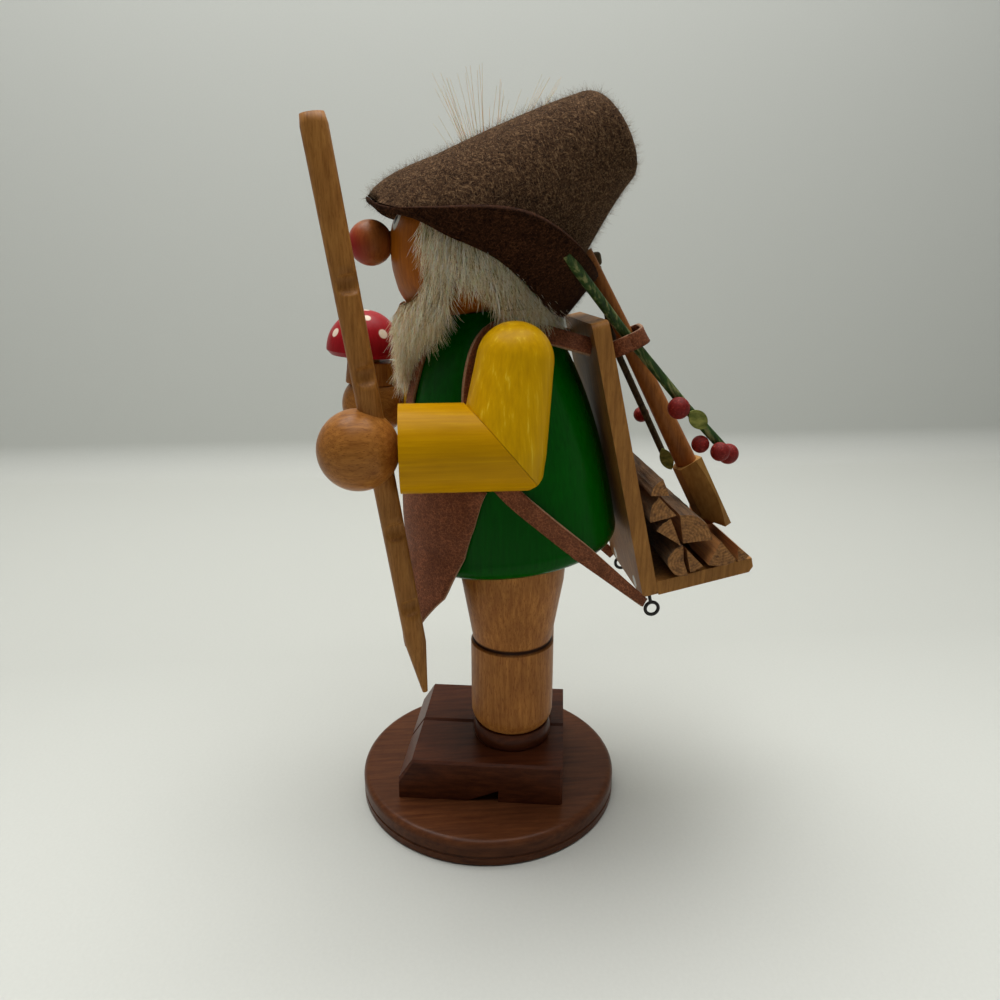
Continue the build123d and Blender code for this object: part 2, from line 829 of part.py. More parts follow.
def ribbon(start, end, face, start_width, end_width):
    way = (end - start).normalized()
    across = face.cross(way)
    with BuildPart() as piece:
        with BuildSketch(Plane(start, x_dir=across, z_dir=way)):
            Rectangle(start_width, leather)
        with BuildSketch(Plane(end, x_dir=across, z_dir=way)):
            Rectangle(end_width, leather)
        loft()
    return piece.part


def strap(side):
    ring = pack.from_local_coords((side * hook_place, hook_mid, hook_ring_up))
    waist = on_coat(side, *strap_path[-1])
    way = (ring - waist).normalized()
    wire = ring - hook_ring * way
    face = Vector(side * strap_face[0], *strap_face[1:])
    knot = Plane(wire, x_dir=way, z_dir=face.cross(way))
    shoulder = on_coat(side, *strap_path[0])
    nailed = pack.from_local_coords((side * strap_top, -board_thickness - slip_fit, strap_top_rise))
    with BuildPart() as piece:
        add(strap_band(side, strap_width, strap_lift, strap_lift + leather))
        add(ribbon(waist - way, wire - (knot_room + leather / 2) * way, face, strap_width, strap_end_width))
        with BuildSketch(knot.offset(-strap_end_width / 2)):
            Circle(knot_room + knot_wall)
            Circle(knot_room, mode=Mode.SUBTRACT)
        extrude(amount=strap_end_width)
        top_face = Vector(side * strap_top_face[0], *strap_top_face[1:])
        rise = (nailed - shoulder).normalized()
        add(ribbon(shoulder - rise, nailed, top_face, strap_width, strap_width))
        add(coat_form(strap_lift / 2), mode=Mode.SUBTRACT)
        add(head_form(skin_gap), mode=Mode.SUBTRACT)
        add(board_form(slip_fit), mode=Mode.SUBTRACT)
    return piece.part


keep(strap(1), "strap_left")
keep(strap(-1), "strap_right")
strap_over = strap_lift + leather + skin_gap
strap_rooms = {
    side: strap_band(side, strap_width + 2 * skin_gap, glue_gap, strap_over)
    for side in (-1, 1)
}


# Arms: two turned sleeves, mitred at the elbow.
def arm_points(side):
    elbow = at(side * arm_out, -arm_forward, arm_rise)
    shoulder = elbow + Vector(-side * shoulder_in, shoulder_back, shoulder_rise)
    return elbow, shoulder


def mitre(side):
    elbow, shoulder = arm_points(side)
    return Plane(elbow, z_dir=(shoulder - elbow).normalized() + Vector(0, 1, 0))


def elbow_corner(side):
    elbow, shoulder = arm_points(side)
    out = Vector(0, 1, 0) - (shoulder - elbow).normalized()
    return Plane(elbow + elbow_trim * out.normalized(), z_dir=out)


def upper_arm(side):
    elbow, shoulder = arm_points(side)
    frame = Plane(elbow, x_dir=(0, 1, 0), z_dir=shoulder - elbow)
    length = (shoulder - elbow).length
    with BuildPart() as piece:
        with BuildSketch(upright(frame)):
            with BuildLine():
                low = Line((0, -2 * elbow_radius), (elbow_radius, -2 * elbow_radius))
                lower = Line(low @ 1, (elbow_radius, 0))
                upper = Line(lower @ 1, (shoulder_radius, length))
                dome = CenterArc((0, length), shoulder_radius, 0, 90)
                Line(dome @ 1, low @ 0)
            make_face()
        revolve(axis=axis_of(frame))
        split(bisect_by=mitre(side).offset(glue_gap), keep=Keep.TOP)
        split(bisect_by=elbow_corner(side), keep=Keep.BOTTOM)
        add(coat_form(slip_fit), mode=Mode.SUBTRACT)
        add(strap_rooms[side], mode=Mode.SUBTRACT)
        reach = (shoulder_peg_in, shoulder_peg_out) if side > 0 else (-shoulder_peg_out, -shoulder_peg_in)
        add(dowel(arm_pegs, peg_radius + peg_fit, *reach), mode=Mode.SUBTRACT)
    return piece.part


hand_ahead = forearm_length + hand_reach


def forearm(side):
    elbow, shoulder = arm_points(side)
    frame = Plane(elbow, x_dir=(1, 0, 0), z_dir=(0, -1, 0))
    with BuildPart() as piece:
        add(dowel(frame, elbow_radius, -2 * elbow_radius, forearm_length))
        split(bisect_by=mitre(side).offset(-glue_gap), keep=Keep.BOTTOM)
        split(bisect_by=elbow_corner(side), keep=Keep.BOTTOM)
        add(coat_form(strap_over), mode=Mode.SUBTRACT)
        tenon_foot = forearm_length - tenon_length
        add(dowel(frame, tenon_radius + peg_fit, tenon_foot, forearm_length + over), mode=Mode.SUBTRACT)
    return piece.part


staff_foot = at(arm_out, -arm_forward - hand_ahead + staff_behind, arm_rise)
staff_frame = Plane(
    staff_foot,
    x_dir=(1, 0, 0),
    z_dir=(0, -sin(radians(staff_lean)), cos(radians(staff_lean))),
)


def staff_form(grow):
    with BuildPart() as piece:
        outline = (
            (0, -staff_below),
            (staff_tip_radius + grow, -staff_below),
            (staff_low_radius + grow, staff_point - staff_below),
            (staff_top_radius + grow, staff_above),
            (0, staff_above),
        )
        add(turned(staff_frame, outline))
    return piece.part


def hand(side):
    elbow, shoulder = arm_points(side)
    frame = Plane(elbow, x_dir=(1, 0, 0), z_dir=(0, -1, 0))
    with BuildPart() as piece:
        with Locations(frame.offset(hand_ahead)):
            Sphere(hand_radius)
        split(bisect_by=frame.offset(forearm_length + wrist_step), keep=Keep.TOP)
        add(dowel(frame, tenon_radius, forearm_length + peg_fit - tenon_length, hand_ahead))
        if side > 0:
            add(staff_form(peg_fit), mode=Mode.SUBTRACT)
        else:
            split(bisect_by=stump_frame.offset(-glue_gap), keep=Keep.BOTTOM)
    return piece.part


stump_frame = Plane(
    at(-arm_out, -arm_forward - hand_ahead - stump_forward, arm_rise + stump_rise),
    x_dir=(1, 0, 0),
    z_dir=(0, sin(radians(stump_tilt)), cos(radians(stump_tilt))),
)
keep(upper_arm(1), "upper_arm_left")
keep(upper_arm(-1), "upper_arm_right")
keep(forearm(1), "forearm_left")
keep(forearm(-1), "forearm_right")
keep(hand(1), "hand_left")
keep(hand(-1), "hand_right")

with BuildPart() as staff:
    add(staff_form(0))
    with BuildSketch(upright(staff_frame)):
        for knot in staff_knots:
            share = (knot + staff_below - staff_point) / (staff_above + staff_below - staff_point)
            with Locations((staff_low_radius + share * (staff_top_radius - staff_low_radius), knot)):
                Circle(staff_knot)
    revolve(axis=axis_of(staff_frame), mode=Mode.SUBTRACT)
keep(staff.part, "staff")

# Stump and toadstool.
stem_frame = Plane(
    stump_frame.from_local_coords((0, -stem_forward, stump_height)), x_dir=(1, 0, 0), z_dir=stump_frame.z_dir
)
with BuildPart() as stump:
    add(turned(stump_frame, ((0, 0), (stump_radius, 0), (stump_top_radius, stump_height), (0, stump_height))))
    fillet(stump.edges().filter_by(GeomType.CIRCLE), ring_depth)
keep(stump.part, "stump")

with BuildPart() as mushroom_stem:
    add(dowel(stem_frame, stem_radius, glue_gap, stem_show + stem_sunk - peg_fit))
keep(mushroom_stem.part, "mushroom_stem")

cap_frame = stem_frame.offset(stem_show)
with BuildPart() as mushroom_cap:
    with BuildSketch(upright(cap_frame)):
        with BuildLine():
            crest = (cap_radius * cos(radians(45)), cap_rim + (cap_height - cap_rim) * sin(radians(45)))
            dome = Spline((cap_radius, cap_rim), crest, (0, cap_height), tangents=((0, 1), (-1, 0)))
            Polyline(dome @ 1, (0, 0), (cap_radius - cap_rim, 0), dome @ 0)
        make_face()
    revolve(axis=axis_of(cap_frame))
    add(dowel(cap_frame, stem_radius + peg_fit, -over, stem_sunk), mode=Mode.SUBTRACT)
keep(mushroom_cap.part, "mushroom_cap")


# Firewood.
def split_log(heart_out, heart_up, radius, first, last, far, near):
    with BuildPart() as piece:
        with BuildSketch(pack_side.offset(far)):
            with BuildLine():
                bark = CenterArc((heart_out, heart_up), radius, first, last - first)
                Polyline(bark @ 1, (heart_out, heart_up), bark @ 0)
            make_face()
        extrude(amount=near - far)
    return piece.part


for number, row in enumerate(logs, 1):
    keep(split_log(*row), f"log_{number}")

# Axe, which stands on the logs and leans through a leather loop.
axe_start = pack.from_local_coords(axe_top)
axe_end = pack.from_local_coords(axe_low)
axe_span = (axe_end - axe_start).length
axe_line = Plane(axe_start, x_dir=(1, 0, 0), z_dir=axe_end - axe_start)
with BuildPart() as axe_handle:
    handle_outline = (
        (0, 0),
        (axe_top_radius, 0),
        (axe_low_radius, axe_span - axe_length),
        (axe_low_radius, axe_span),
        (0, axe_span),
    )
    add(turned(axe_line, handle_outline))
keep(axe_handle.part, "axe_handle")

axe_mid = axe_line.offset(axe_span - axe_length / 2).rotated((0, 0, axe_turn))
with BuildPart() as axe_head:
    with BuildSketch(axe_mid):
        with BuildLine():
            half = (
                (-axe_poll, axe_poll_half),
                (-axe_eye, axe_cheek),
                (axe_eye, axe_cheek),
                (axe_edge, axe_edge_half),
            )
            Polyline(*half, *[(x, -y) for x, y in reversed(half)], close=True)
        make_face()
    extrude(amount=axe_length / 2, both=True)
    with BuildSketch(upright(axe_mid)):
        with BuildLine():
            tall = axe_length / 2
            edge = ThreePointArc((axe_edge - axe_bow, -tall), (axe_edge, 0), (axe_edge - axe_bow, tall))
            upper = ((axe_eye, axe_neck), (-axe_poll, axe_neck))
            Polyline(edge @ 1, *upper, *[(x, -z) for x, z in reversed(upper)], edge @ 0)
        make_face()
    extrude(amount=2 * axe_cheek, both=True, mode=Mode.INTERSECT)
    add(dowel(axe_line, axe_low_radius + peg_fit, 0, axe_span + over), mode=Mode.SUBTRACT)
keep(axe_head.part, "axe_head")

loop_share = (axe_top[2] - loop_height) / (axe_top[2] - axe_low[2])
loop_plane = Plane(axe_start + loop_share * (axe_end - axe_start), x_dir=(1, 0, 0), z_dir=axe_start - axe_end)
loop_back = (axe_top[1] + loop_share * (axe_low[1] - axe_top[1])) / cos(radians(pack_lean)) - loop_strap
with BuildPart() as leather_loop:
    with BuildSketch(loop_plane):
        with Locations(((loop_near - loop_far) / 2, (loop_front - loop_back) / 2)):
            RectangleRounded(loop_near + loop_far, loop_front + loop_back, loop_round)
            RectangleRounded(
                loop_near + loop_far - 2 * loop_strap,
                loop_front + loop_back - 2 * loop_strap,
                loop_round - loop_strap,
                mode=Mode.SUBTRACT,
            )
    extrude(amount=loop_width / 2, both=True)
keep(leather_loop.part, "leather_loop")


# Twigs with berries, leaves and an alder cone.
def stick(points, radius, bend):
    with BuildPart() as piece:
        with BuildLine() as path:
            FilletPolyline(*[pack.from_local_coords(point) for point in points], radius=bend)
        with BuildSketch(Plane(path.line @ 0, z_dir=path.line % 0)):
            Circle(radius)
        sweep(path=path.line)
    return piece.part, path.line


near_stick, near_line = stick(twig_points, twig_radius, twig_bends)
far_stick, far_line = stick(thin_points, thin_radius, thin_bends)
keep(near_stick, "twig_near")
keep(far_stick, "twig_far")


def beside(line, share, distance, turn):
    along = line % share
    across = Vector(1, 0, 0)
    out = across.cross(along).normalized()
    return (line @ share) + distance * (cos(radians(turn)) * across + sin(radians(turn)) * out)


with BuildPart() as berries:
    for share, radius, turn in near_berries:
        with Locations(beside(near_line, share, twig_radius + berry_gap + radius, turn)):
            Sphere(radius)
    radius, shift = end_berry
    with Locations((near_line @ 1) + (radius + berry_gap) * (near_line % 1) + Vector(shift, 0, 0)):
        Sphere(radius)
    share, radius, turn = far_berry
    with Locations(beside(far_line, share, thin_radius + berry_gap + radius, turn)):
        Sphere(radius)
keep(berries.part, "berries")

tip = Plane(far_line @ 0, z_dir=-(far_line % 0)).offset(berry_gap)
with BuildPart() as alder_cone:
    with BuildSketch(upright(tip)):
        with BuildLine():
            dome = Spline((0, 0), (cone_radius, cone_belly), (0, cone_length), tangents=((1, 0), (-1, 0)))
            Line(dome @ 1, dome @ 0)
        make_face()
    revolve(axis=axis_of(tip))
keep(alder_cone.part, "alder_cone")


def leaf(line, radius, share, length, width):
    along = line % share
    face = along.cross(Vector(1, 0, 0).cross(along))
    plane = Plane(beside(line, share, radius + berry_gap + leaf_thick / 2, 0), x_dir=along, z_dir=face)
    with BuildPart() as piece:
        with BuildSketch(plane):
            with BuildLine():
                ThreePointArc((0, 0), (length / 2, width / 2), (length, 0))
                ThreePointArc((length, 0), (length / 2, -width / 2), (0, 0))
            make_face()
        extrude(amount=leaf_thick / 2, both=True)
    return piece.part


with BuildPart() as twig_leaves:
    add(leaf(near_line, twig_radius, *near_leaf))
    add(leaf(far_line, thin_radius, *far_leaf))
keep(twig_leaves.part, "twig_leaves")
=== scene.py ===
# %% [markdown]
# # A woodsman incense smoker
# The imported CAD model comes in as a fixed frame: every turned piece is already in its true place and size.
# This lesson adds what a lathe doesn't make, such as felt, fur, leather and paint, and lights it like a
# product photo.

# %% Load the frame
import math
from math import cos, pi, radians, sin, sqrt
import bmesh
import bpy
import numpy as np
from mathutils import Matrix, Vector


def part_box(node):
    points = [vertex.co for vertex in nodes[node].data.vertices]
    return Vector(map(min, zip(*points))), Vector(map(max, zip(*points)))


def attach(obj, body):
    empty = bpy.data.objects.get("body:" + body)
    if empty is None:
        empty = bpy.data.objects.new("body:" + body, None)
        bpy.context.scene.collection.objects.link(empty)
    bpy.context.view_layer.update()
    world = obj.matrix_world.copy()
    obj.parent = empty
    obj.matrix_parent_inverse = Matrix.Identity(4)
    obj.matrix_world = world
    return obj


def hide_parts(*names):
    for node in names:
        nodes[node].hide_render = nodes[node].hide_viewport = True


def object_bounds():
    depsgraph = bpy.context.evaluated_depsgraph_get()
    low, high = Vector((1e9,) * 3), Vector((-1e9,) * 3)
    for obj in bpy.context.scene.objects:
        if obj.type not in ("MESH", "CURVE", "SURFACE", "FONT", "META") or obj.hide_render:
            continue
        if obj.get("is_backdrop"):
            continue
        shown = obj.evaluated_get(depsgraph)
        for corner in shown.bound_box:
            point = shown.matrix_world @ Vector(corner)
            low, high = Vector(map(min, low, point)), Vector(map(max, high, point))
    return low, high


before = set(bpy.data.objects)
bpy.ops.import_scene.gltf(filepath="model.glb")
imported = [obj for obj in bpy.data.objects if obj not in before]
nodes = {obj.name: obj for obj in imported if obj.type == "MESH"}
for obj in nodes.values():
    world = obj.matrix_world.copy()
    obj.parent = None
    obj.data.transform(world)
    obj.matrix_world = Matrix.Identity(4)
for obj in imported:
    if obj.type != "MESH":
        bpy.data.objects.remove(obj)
cad_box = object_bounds()
scene = bpy.context.scene
MM = 0.001

# %% [markdown]
# ## Camera
# The photo was taken from close by, a little above the figure's left side. A camera set by eye would leave
# every outline a little off, so its place and direction were fitted to the round base and the figure's
# heights.

# %% Camera
right = Vector((0.0958, 0.9954, 0.0))
up = Vector((-0.2886, 0.0278, 0.957))
forward = Vector((-0.95264, 0.09173, -0.28993))
camera_place = (0.24198, -0.01913, 0.1789)
lens = bpy.data.cameras.new("photo_camera")
lens.sensor_width = 36.0
lens.lens = 28.08
lens.clip_start = 0.01
camera = bpy.data.objects.new("photo_camera", lens)
scene.collection.objects.link(camera)
turn = Matrix((right, up, -forward)).transposed().to_4x4()
camera.matrix_world = Matrix.Translation(camera_place) @ turn
bpy.context.scene.camera = camera
print("camera looks down by", round(math.degrees(math.asin(-forward.z)), 1), "degrees")

# %% [markdown]
# ## Shader helpers
# Finishes could be wired by hand in the shader editor; helpers keep them short and alike. Colours are
# easier to judge as screen values, and `tone` makes them linear. `put` adds a node, wires its inputs and
# returns its outputs.


# %% Shader helpers
def tone(red, green, blue):
    values = [c / 255 for c in (red, green, blue)]
    return (*[v / 12.92 if v < 0.04045 else ((v + 0.055) / 1.055) ** 2.4 for v in values], 1.0)


def shader(name, rough, shine=0.5, **sockets):
    finish = bpy.data.materials.new(name)
    finish.use_nodes = True
    body = finish.node_tree.nodes["Principled BSDF"]
    body.inputs["Roughness"].default_value = rough
    body.inputs["Specular IOR Level"].default_value = shine
    for socket, value in sockets.items():
        body.inputs[socket.replace("_", " ")].default_value = value
    return finish, finish.node_tree, body


def put(tree, kind, settings=None, **inputs):
    made = tree.nodes.new(kind)
    for key, value in (settings or {}).items():
        setattr(made, key, value)
    for key, value in inputs.items():
        numbered = key[0] == "i" and key[1:].isdigit()
        socket = made.inputs[int(key[1:]) if numbered else key.replace("_", " ")]
        if isinstance(value, bpy.types.NodeSocket):
            tree.links.new(value, socket)
        else:
            socket.default_value = value
    return made.outputs


def maths(tree, operation, first, second):
    return put(tree, "ShaderNodeMath", {"operation": operation}, i0=first, i1=second)[0]


def vectors(tree, operation, first, **others):
    return put(tree, "ShaderNodeVectorMath", {"operation": operation}, i0=first, **others)


def ramp(tree, factor, *stops):
    made = put(tree, "ShaderNodeValToRGB", Fac=factor)
    band = made["Color"].node.color_ramp
    while len(band.elements) < len(stops):
        band.elements.new(0.5)
    for element, (place, colour) in zip(band.elements, stops):
        element.position = place
        element.color = (*[colour] * 3, 1.0) if isinstance(colour, float) else colour
    return made["Color"]


def toned(tree, factor, *stops):
    return ramp(tree, factor, *[(place, tone(*levels)) for place, *levels in stops])


def mixed(tree, factor, first, second, blend="MIX"):
    settings = {"data_type": "RGBA", "blend_type": blend}
    return put(tree, "ShaderNodeMix", settings, i0=factor, i6=first, i7=second)[2]


def shaded(tree, body, colour, shade):
    tree.links.new(mixed(tree, 1.0, colour, shade, "MULTIPLY"), body.inputs["Base Color"])


print("shader helpers ready")

# %% [markdown]
# ## Pattern helpers
# Grain and wear could come from image textures, but a noise needs no file, and in Object coordinates it
# stays on the piece in every view. Its scale is in cells per metre. `plain_finish` takes its colour and its
# relief in mm from one noise.


# %% Pattern helpers
NO_TURN = (0.0,) * 3
Y, Z = 1, 2


def stretched(tree, scale, turn=NO_TURN):
    place = put(tree, "ShaderNodeTexCoord")["Object"]
    turned = put(tree, "ShaderNodeMapping", Vector=place, Rotation=turn)
    return put(tree, "ShaderNodeMapping", Vector=turned[0], Scale=scale)[0]


def noise(tree, place, detail=4.0, grit=0.55):
    settings = {"Vector": place, "Scale": 1.0, "Detail": detail, "Roughness": grit}
    return put(tree, "ShaderNodeTexNoise", **settings)["Fac"]


def specks(tree, scale, detail=4.0, grit=0.55):
    return noise(tree, stretched(tree, (scale, scale, scale)), detail, grit)


def grain_scale(along, width, longer):
    scale = [1 / (width * MM)] * 3
    scale[along] /= longer
    return scale


def bumped(tree, body, height, relief, strength):
    made = put(tree, "ShaderNodeBump", Height=height, Distance=relief * MM, Strength=strength)
    tree.links.new(made[0], body.inputs["Normal"])


def plain_finish(
    name, rough, stops, scale, detail, grit=0.55, turn=NO_TURN, relief=0.0, strength=0.5, **sockets
):
    finish, tree, body = shader(name, rough, **sockets)
    pattern = noise(tree, stretched(tree, scale, turn), detail, grit)
    tree.links.new(toned(tree, pattern, *stops), body.inputs["Base Color"])
    if relief:
        bumped(tree, body, pattern, relief, strength)
    return finish


def dress(finish, *names):
    for node in names:
        nodes[node].data.materials.clear()
        nodes[node].data.materials.append(finish)


print("pattern helpers ready")

# %% [markdown]
# ## Mesh helpers
# New pieces could be sculpted. Rings and rows of points in mm were chosen because a number sets each of
# them. `ring_faces` joins closed rings, `grid_faces` open rows, and `thickened` gives a sheet its
# thickness.


# %% Mesh helpers
def vec(x, y, z):
    return np.array([x, y, z])


def ring_faces(rings, around, start=0):
    return [
        (a + k, a + (k + 1) % around, a + around + (k + 1) % around, a + around + k)
        for a in range(start, start + (rings - 1) * around, around)
        for k in range(around)
    ]


def grid_faces(rows, columns):
    return [
        (a + c, a + c + 1, a + columns + c + 1, a + columns + c)
        for a in range(0, (rows - 1) * columns, columns)
        for c in range(columns - 1)
    ]


def welded(mesh, gap=1e-6):
    work = bmesh.new()
    work.from_mesh(mesh)
    bmesh.ops.remove_doubles(work, verts=work.verts, dist=gap)
    bmesh.ops.recalc_face_normals(work, faces=work.faces)
    work.to_mesh(mesh)
    work.free()


def placed(name, data):
    piece = bpy.data.objects.new(name, data)
    scene.collection.objects.link(piece)
    return piece


def solid_piece(name, points, faces, finishes=(), smooth=True):
    mesh = bpy.data.meshes.new(name)
    mesh.from_pydata([tuple(p) for p in np.array(points) * MM], [], faces)
    mesh.validate()
    welded(mesh)
    for face in mesh.polygons:
        face.use_smooth = smooth
    for finish in finishes:
        mesh.materials.append(finish)
    return placed(name, mesh)


def finished(piece):
    bpy.context.view_layer.update()
    ready = piece.evaluated_get(bpy.context.evaluated_depsgraph_get())
    mesh = bpy.data.meshes.new_from_object(ready)
    piece.modifiers.clear()
    piece.data = mesh
    return piece


def thickened(piece, thickness, rim_finish=0):
    wall = piece.modifiers.new("thick", "SOLIDIFY")
    wall.thickness = thickness * MM
    wall.offset = 0.0
    wall.material_offset_rim = rim_finish
    return finished(piece)


def leaning(angle):
    return vec(0.0, -sin(angle), cos(angle)), vec(0.0, cos(angle), sin(angle))


def tell(piece):
    print(piece.name, sum(len(face.vertices) - 2 for face in piece.data.polygons), "triangles")


print("mesh helpers ready")

# %% [markdown]
# ## Woods
# Beech has short dark flecks along the grain. One noise can't show both, so a stretched one gives the
# grain, a finer one the flecks, and a large one the worn patches. Widths are in mm.

# %% Wood finishes
wood_shine = 0.12
grain_longer = 14.0
fleck_width, fleck_longer = 0.26, 2.2 / 0.26


def wood(name, pale, dark, along, rough=0.4, fleck=0.35, width=0.9, soft=0.3):
    finish, tree, body = shader(name, rough, wood_shine)
    grain = noise(tree, stretched(tree, grain_scale(along, width, grain_longer)), 5.0)
    colour = toned(tree, grain, (0.5 - soft, *dark), (0.5 + soft, *pale))
    flecks = noise(tree, stretched(tree, grain_scale(along, fleck_width, fleck_longer)), 1.0)
    marks = ramp(tree, flecks, (0.56, 0.0), (0.66, fleck))
    shade = ramp(tree, specks(tree, 90.0, 3.0), (0.3, (0.82, 0.8, 0.78, 1.0)), (0.65, 1.0))
    shaded(tree, body, mixed(tree, marks, colour, tone(*dark)), shade)
    bumped(tree, body, grain, 0.12, 0.25)
    return finish


woods = (
    ("beech_varnished", (190, 126, 62), (128, 72, 30), Z, 0.4, 0.75, 1.0,
     ("stump", "smoke_floor", "base_pegs", "foot_pegs", "hip_pegs", "shoulder_pegs")),
    ("beech_hand", (188, 126, 58), (124, 72, 26), Y, 0.32, 0.75, 1.0, ("hand_left", "hand_right")),
    ("stained_brown", (104, 61, 34), (64, 32, 17), Y, 0.34, 0.3, 1.3, ("base_disc",)),
    # The shoe block's stain is a darker copy of the base's: painted shade for its front. The collars share
    # it.
    ("stained_shoes", (98, 52, 28), (50, 20, 12), Y, 0.34, 0.3, 1.3,
     ("shoe_block", "ankle_collar_left", "ankle_collar_right")),
    ("pack_board", (182, 129, 66), (124, 80, 38), Z, 0.5, 0.4, 1.1, ("back_board", "shelf")),
    ("axe_handle", (176, 112, 56), (118, 68, 30), Z, 0.42, 0.35, 0.8, ("axe_handle",)),
    ("axe_blade", (186, 142, 78), (146, 100, 48), Z, 0.45, 0.2, 1.2, ("axe_head",)),
)
for *look, names in woods:
    dress(wood(*look), *names)
staff_wood = wood("staff_stick", (178, 124, 62), (124, 76, 30), Z, 0.42, 0.5, 0.7)
stem_wood = wood("toadstool_stem", (206, 176, 128), (178, 140, 92), Z, 0.5, 0.15, soft=0.2)
dress(stem_wood, "mushroom_stem")
print("wood finishes set")

# %% [markdown]
# ## Notched staff
# The staff is a tapered stick with four shallow notches cut into one side. Boolean cuts could leave ragged
# faces; here rings of points give the taper, and in a notch they are drawn in to the flat floor of the cut.

# %% Staff
staff_lean = radians(8.2)
staff_middle = vec(36.0, -32.19, 131.3)
staff_axis, staff_back = leaning(staff_lean)
stick_levels, stick_radii = (-74.3, -58.3, 81.9, 82.5), (0.8, 3.05, 3.45, 3.0)
stick_sides = 56
notches = (43.0, 20.0, -23.0, -46.0)
notch_half, notch_deep, notch_facing = 2.6, 1.7, radians(20)
least_facing = 0.2
levels = [np.linspace(stick_levels[0], stick_levels[-1], 60)]
levels += [np.linspace(n - notch_half, n + notch_half, 17) for n in notches]
levels = np.unique(np.round(np.concatenate(levels), 3))
points = []
for level in levels:
    radius = np.interp(level, stick_levels, stick_radii)
    away = min(abs(level - n) for n in notches) / notch_half
    floor_at = radius - notch_deep * sqrt(max(0.0, 1.0 - away**2))
    for angle in np.arange(stick_sides) * 2 * pi / stick_sides:
        facing = cos(angle - notch_facing)
        far = min(radius, floor_at / facing) if facing > least_facing else radius
        side_way = cos(angle) * vec(1.0, 0.0, 0.0) + sin(angle) * staff_back
        points.append(staff_middle + level * staff_axis + far * side_way)
faces = ring_faces(len(levels), stick_sides)
faces += [tuple(range(stick_sides)), tuple(range(len(points) - stick_sides, len(points)))]
staff = solid_piece("notched_staff", points, faces, [staff_wood])
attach(staff, "staff")
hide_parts("staff")
tell(staff)

# %% [markdown]
# ## Paint
# The coat and sleeves are gloss paint on turned wood. One flat colour would look like plastic, so the grain
# shows a little, as it does under thin paint. The lightest stop of each paint is a painted glint along the
# grain.

# %% Paint finishes
brush_longer = 22.0


def paint(name, pale, dark, painted_glint, along, rough=0.34, shine=0.1, width=0.8, relief=0.12):
    finish, tree, body = shader(name, rough, shine)
    grain = noise(tree, stretched(tree, grain_scale(along, width, brush_longer)), 4.0, 0.6)
    # The third, lightest stop is a painted glint: pale lines along the grain stand in for highlights on the
    # gloss.
    colour = toned(tree, grain, (0.3, *dark), (0.6, *pale), (0.72, *painted_glint))
    shade = ramp(tree, specks(tree, 60.0, 2.0), (0.3, 0.88), (0.7, 1.0))
    shaded(tree, body, colour, shade)
    bumped(tree, body, grain, relief, 0.35)
    return finish


paints = (
    ("green_gloss", (0, 80, 5), (0, 70, 4), (2, 84, 8), Z, 0.26, 0.07, ("coat",)),
    # One yellow paint in two copies: the upper arm's is lighter, painted light, the forearm's darker and
    # redder, painted shade.
    ("yellow_gloss_upper", (216, 164, 5), (198, 146, 3), (236, 196, 50), Z, 0.34, 0.07, 1.3, 0.3,
     ("upper_arm_left", "upper_arm_right")),
    ("yellow_gloss_fore", (200, 145, 2), (187, 132, 1), (210, 158, 6), Y, 0.34, 0.06, 0.9, 0.16,
     ("forearm_left", "forearm_right")),
)
for *look, names in paints:
    dress(paint(*look), *names)
print("paint set")

# %% [markdown]
# ## Painted spots
# The face has painted eyes and the nose a red blush. The boots get a dark band at their top edge: painted
# shade
# where the boot's edge meets the leg. A painted texture would need UV maps, so each spot is a soft-edged
# ball:
# inside its radius in mm its colour replaces the one below. The band's ball counts height only.


# %% Spots
def between(tree, value, low, high, **ends):
    return put(tree, "ShaderNodeMapRange", Value=value, From_Min=low, From_Max=high, **ends)[0]


def spot(tree, centre, radius, soft=0.1, squash=(1.0,) * 3):
    place = put(tree, "ShaderNodeTexCoord")["Object"]
    away = vectors(tree, "SUBTRACT", place, i1=[c * MM for c in centre])[0]
    away = vectors(tree, "MULTIPLY", away, i1=squash)[0]
    far = vectors(tree, "LENGTH", away)["Value"]
    inner, outer = radius * (1 - soft) * MM, radius * (1 + soft) * MM
    return between(tree, far, inner, outer, To_Min=1.0, To_Max=0.0)


def spotted(finish, spots):
    tree = finish.node_tree
    base = tree.nodes["Principled BSDF"].inputs["Base Color"]
    colour = base.links[0].from_socket
    for spot_tone, *shape in spots:
        colour = mixed(tree, spot(tree, *shape), colour, spot_tone)
    tree.links.new(colour, base)
    return finish


eye_x, eye_y, eye_z = 6.4, -25.1, 190.5
eye_parts = ((0.0, 2.7, tone(232, 230, 220)), (-0.7, 1.5, tone(26, 30, 38)))
eyes = [
    (eye_tone, (side * (eye_x + shift), eye_y + shift * 0.3, eye_z), radius, 0.1, (1.0, 1.0, 0.9))
    for side in (1, -1)
    for shift, radius, eye_tone in eye_parts
]
blush = (tone(142, 24, 22), (3.0, -41.0, 182.6), 6.4, 0.5)
# A dark band round each leg at the boot's top: painted shade.
boot_top_painted_shade = (tone(52, 28, 16), (0.0, 0.0, 59.8), 0.7, 0.5, (0.0, 0.0, 1.0))
face_wood = wood("face_varnish", (186, 106, 20), (138, 70, 7), Z, 0.36, fleck=0.2)
nose_wood = wood("nose_blush", (164, 98, 46), (120, 66, 27), Z, 0.34, fleck=0.4, width=0.8)
leg_wood = wood("beech_legs", (204, 138, 69), (138, 80, 35), Z, fleck=0.75, width=1.0)
dress(spotted(face_wood, eyes), "head")
dress(spotted(nose_wood, [blush]), "nose")
dress(spotted(leg_wood, [boot_top_painted_shade]), "leg_left", "leg_right")
print(len(eyes) // 2, "eyes painted")

# %% [markdown]
# ## Toadstool
# The red cap has white dots. They are spots too: a turn and a lift in degrees place each one on the dome,
# which is easier to judge than coordinates.

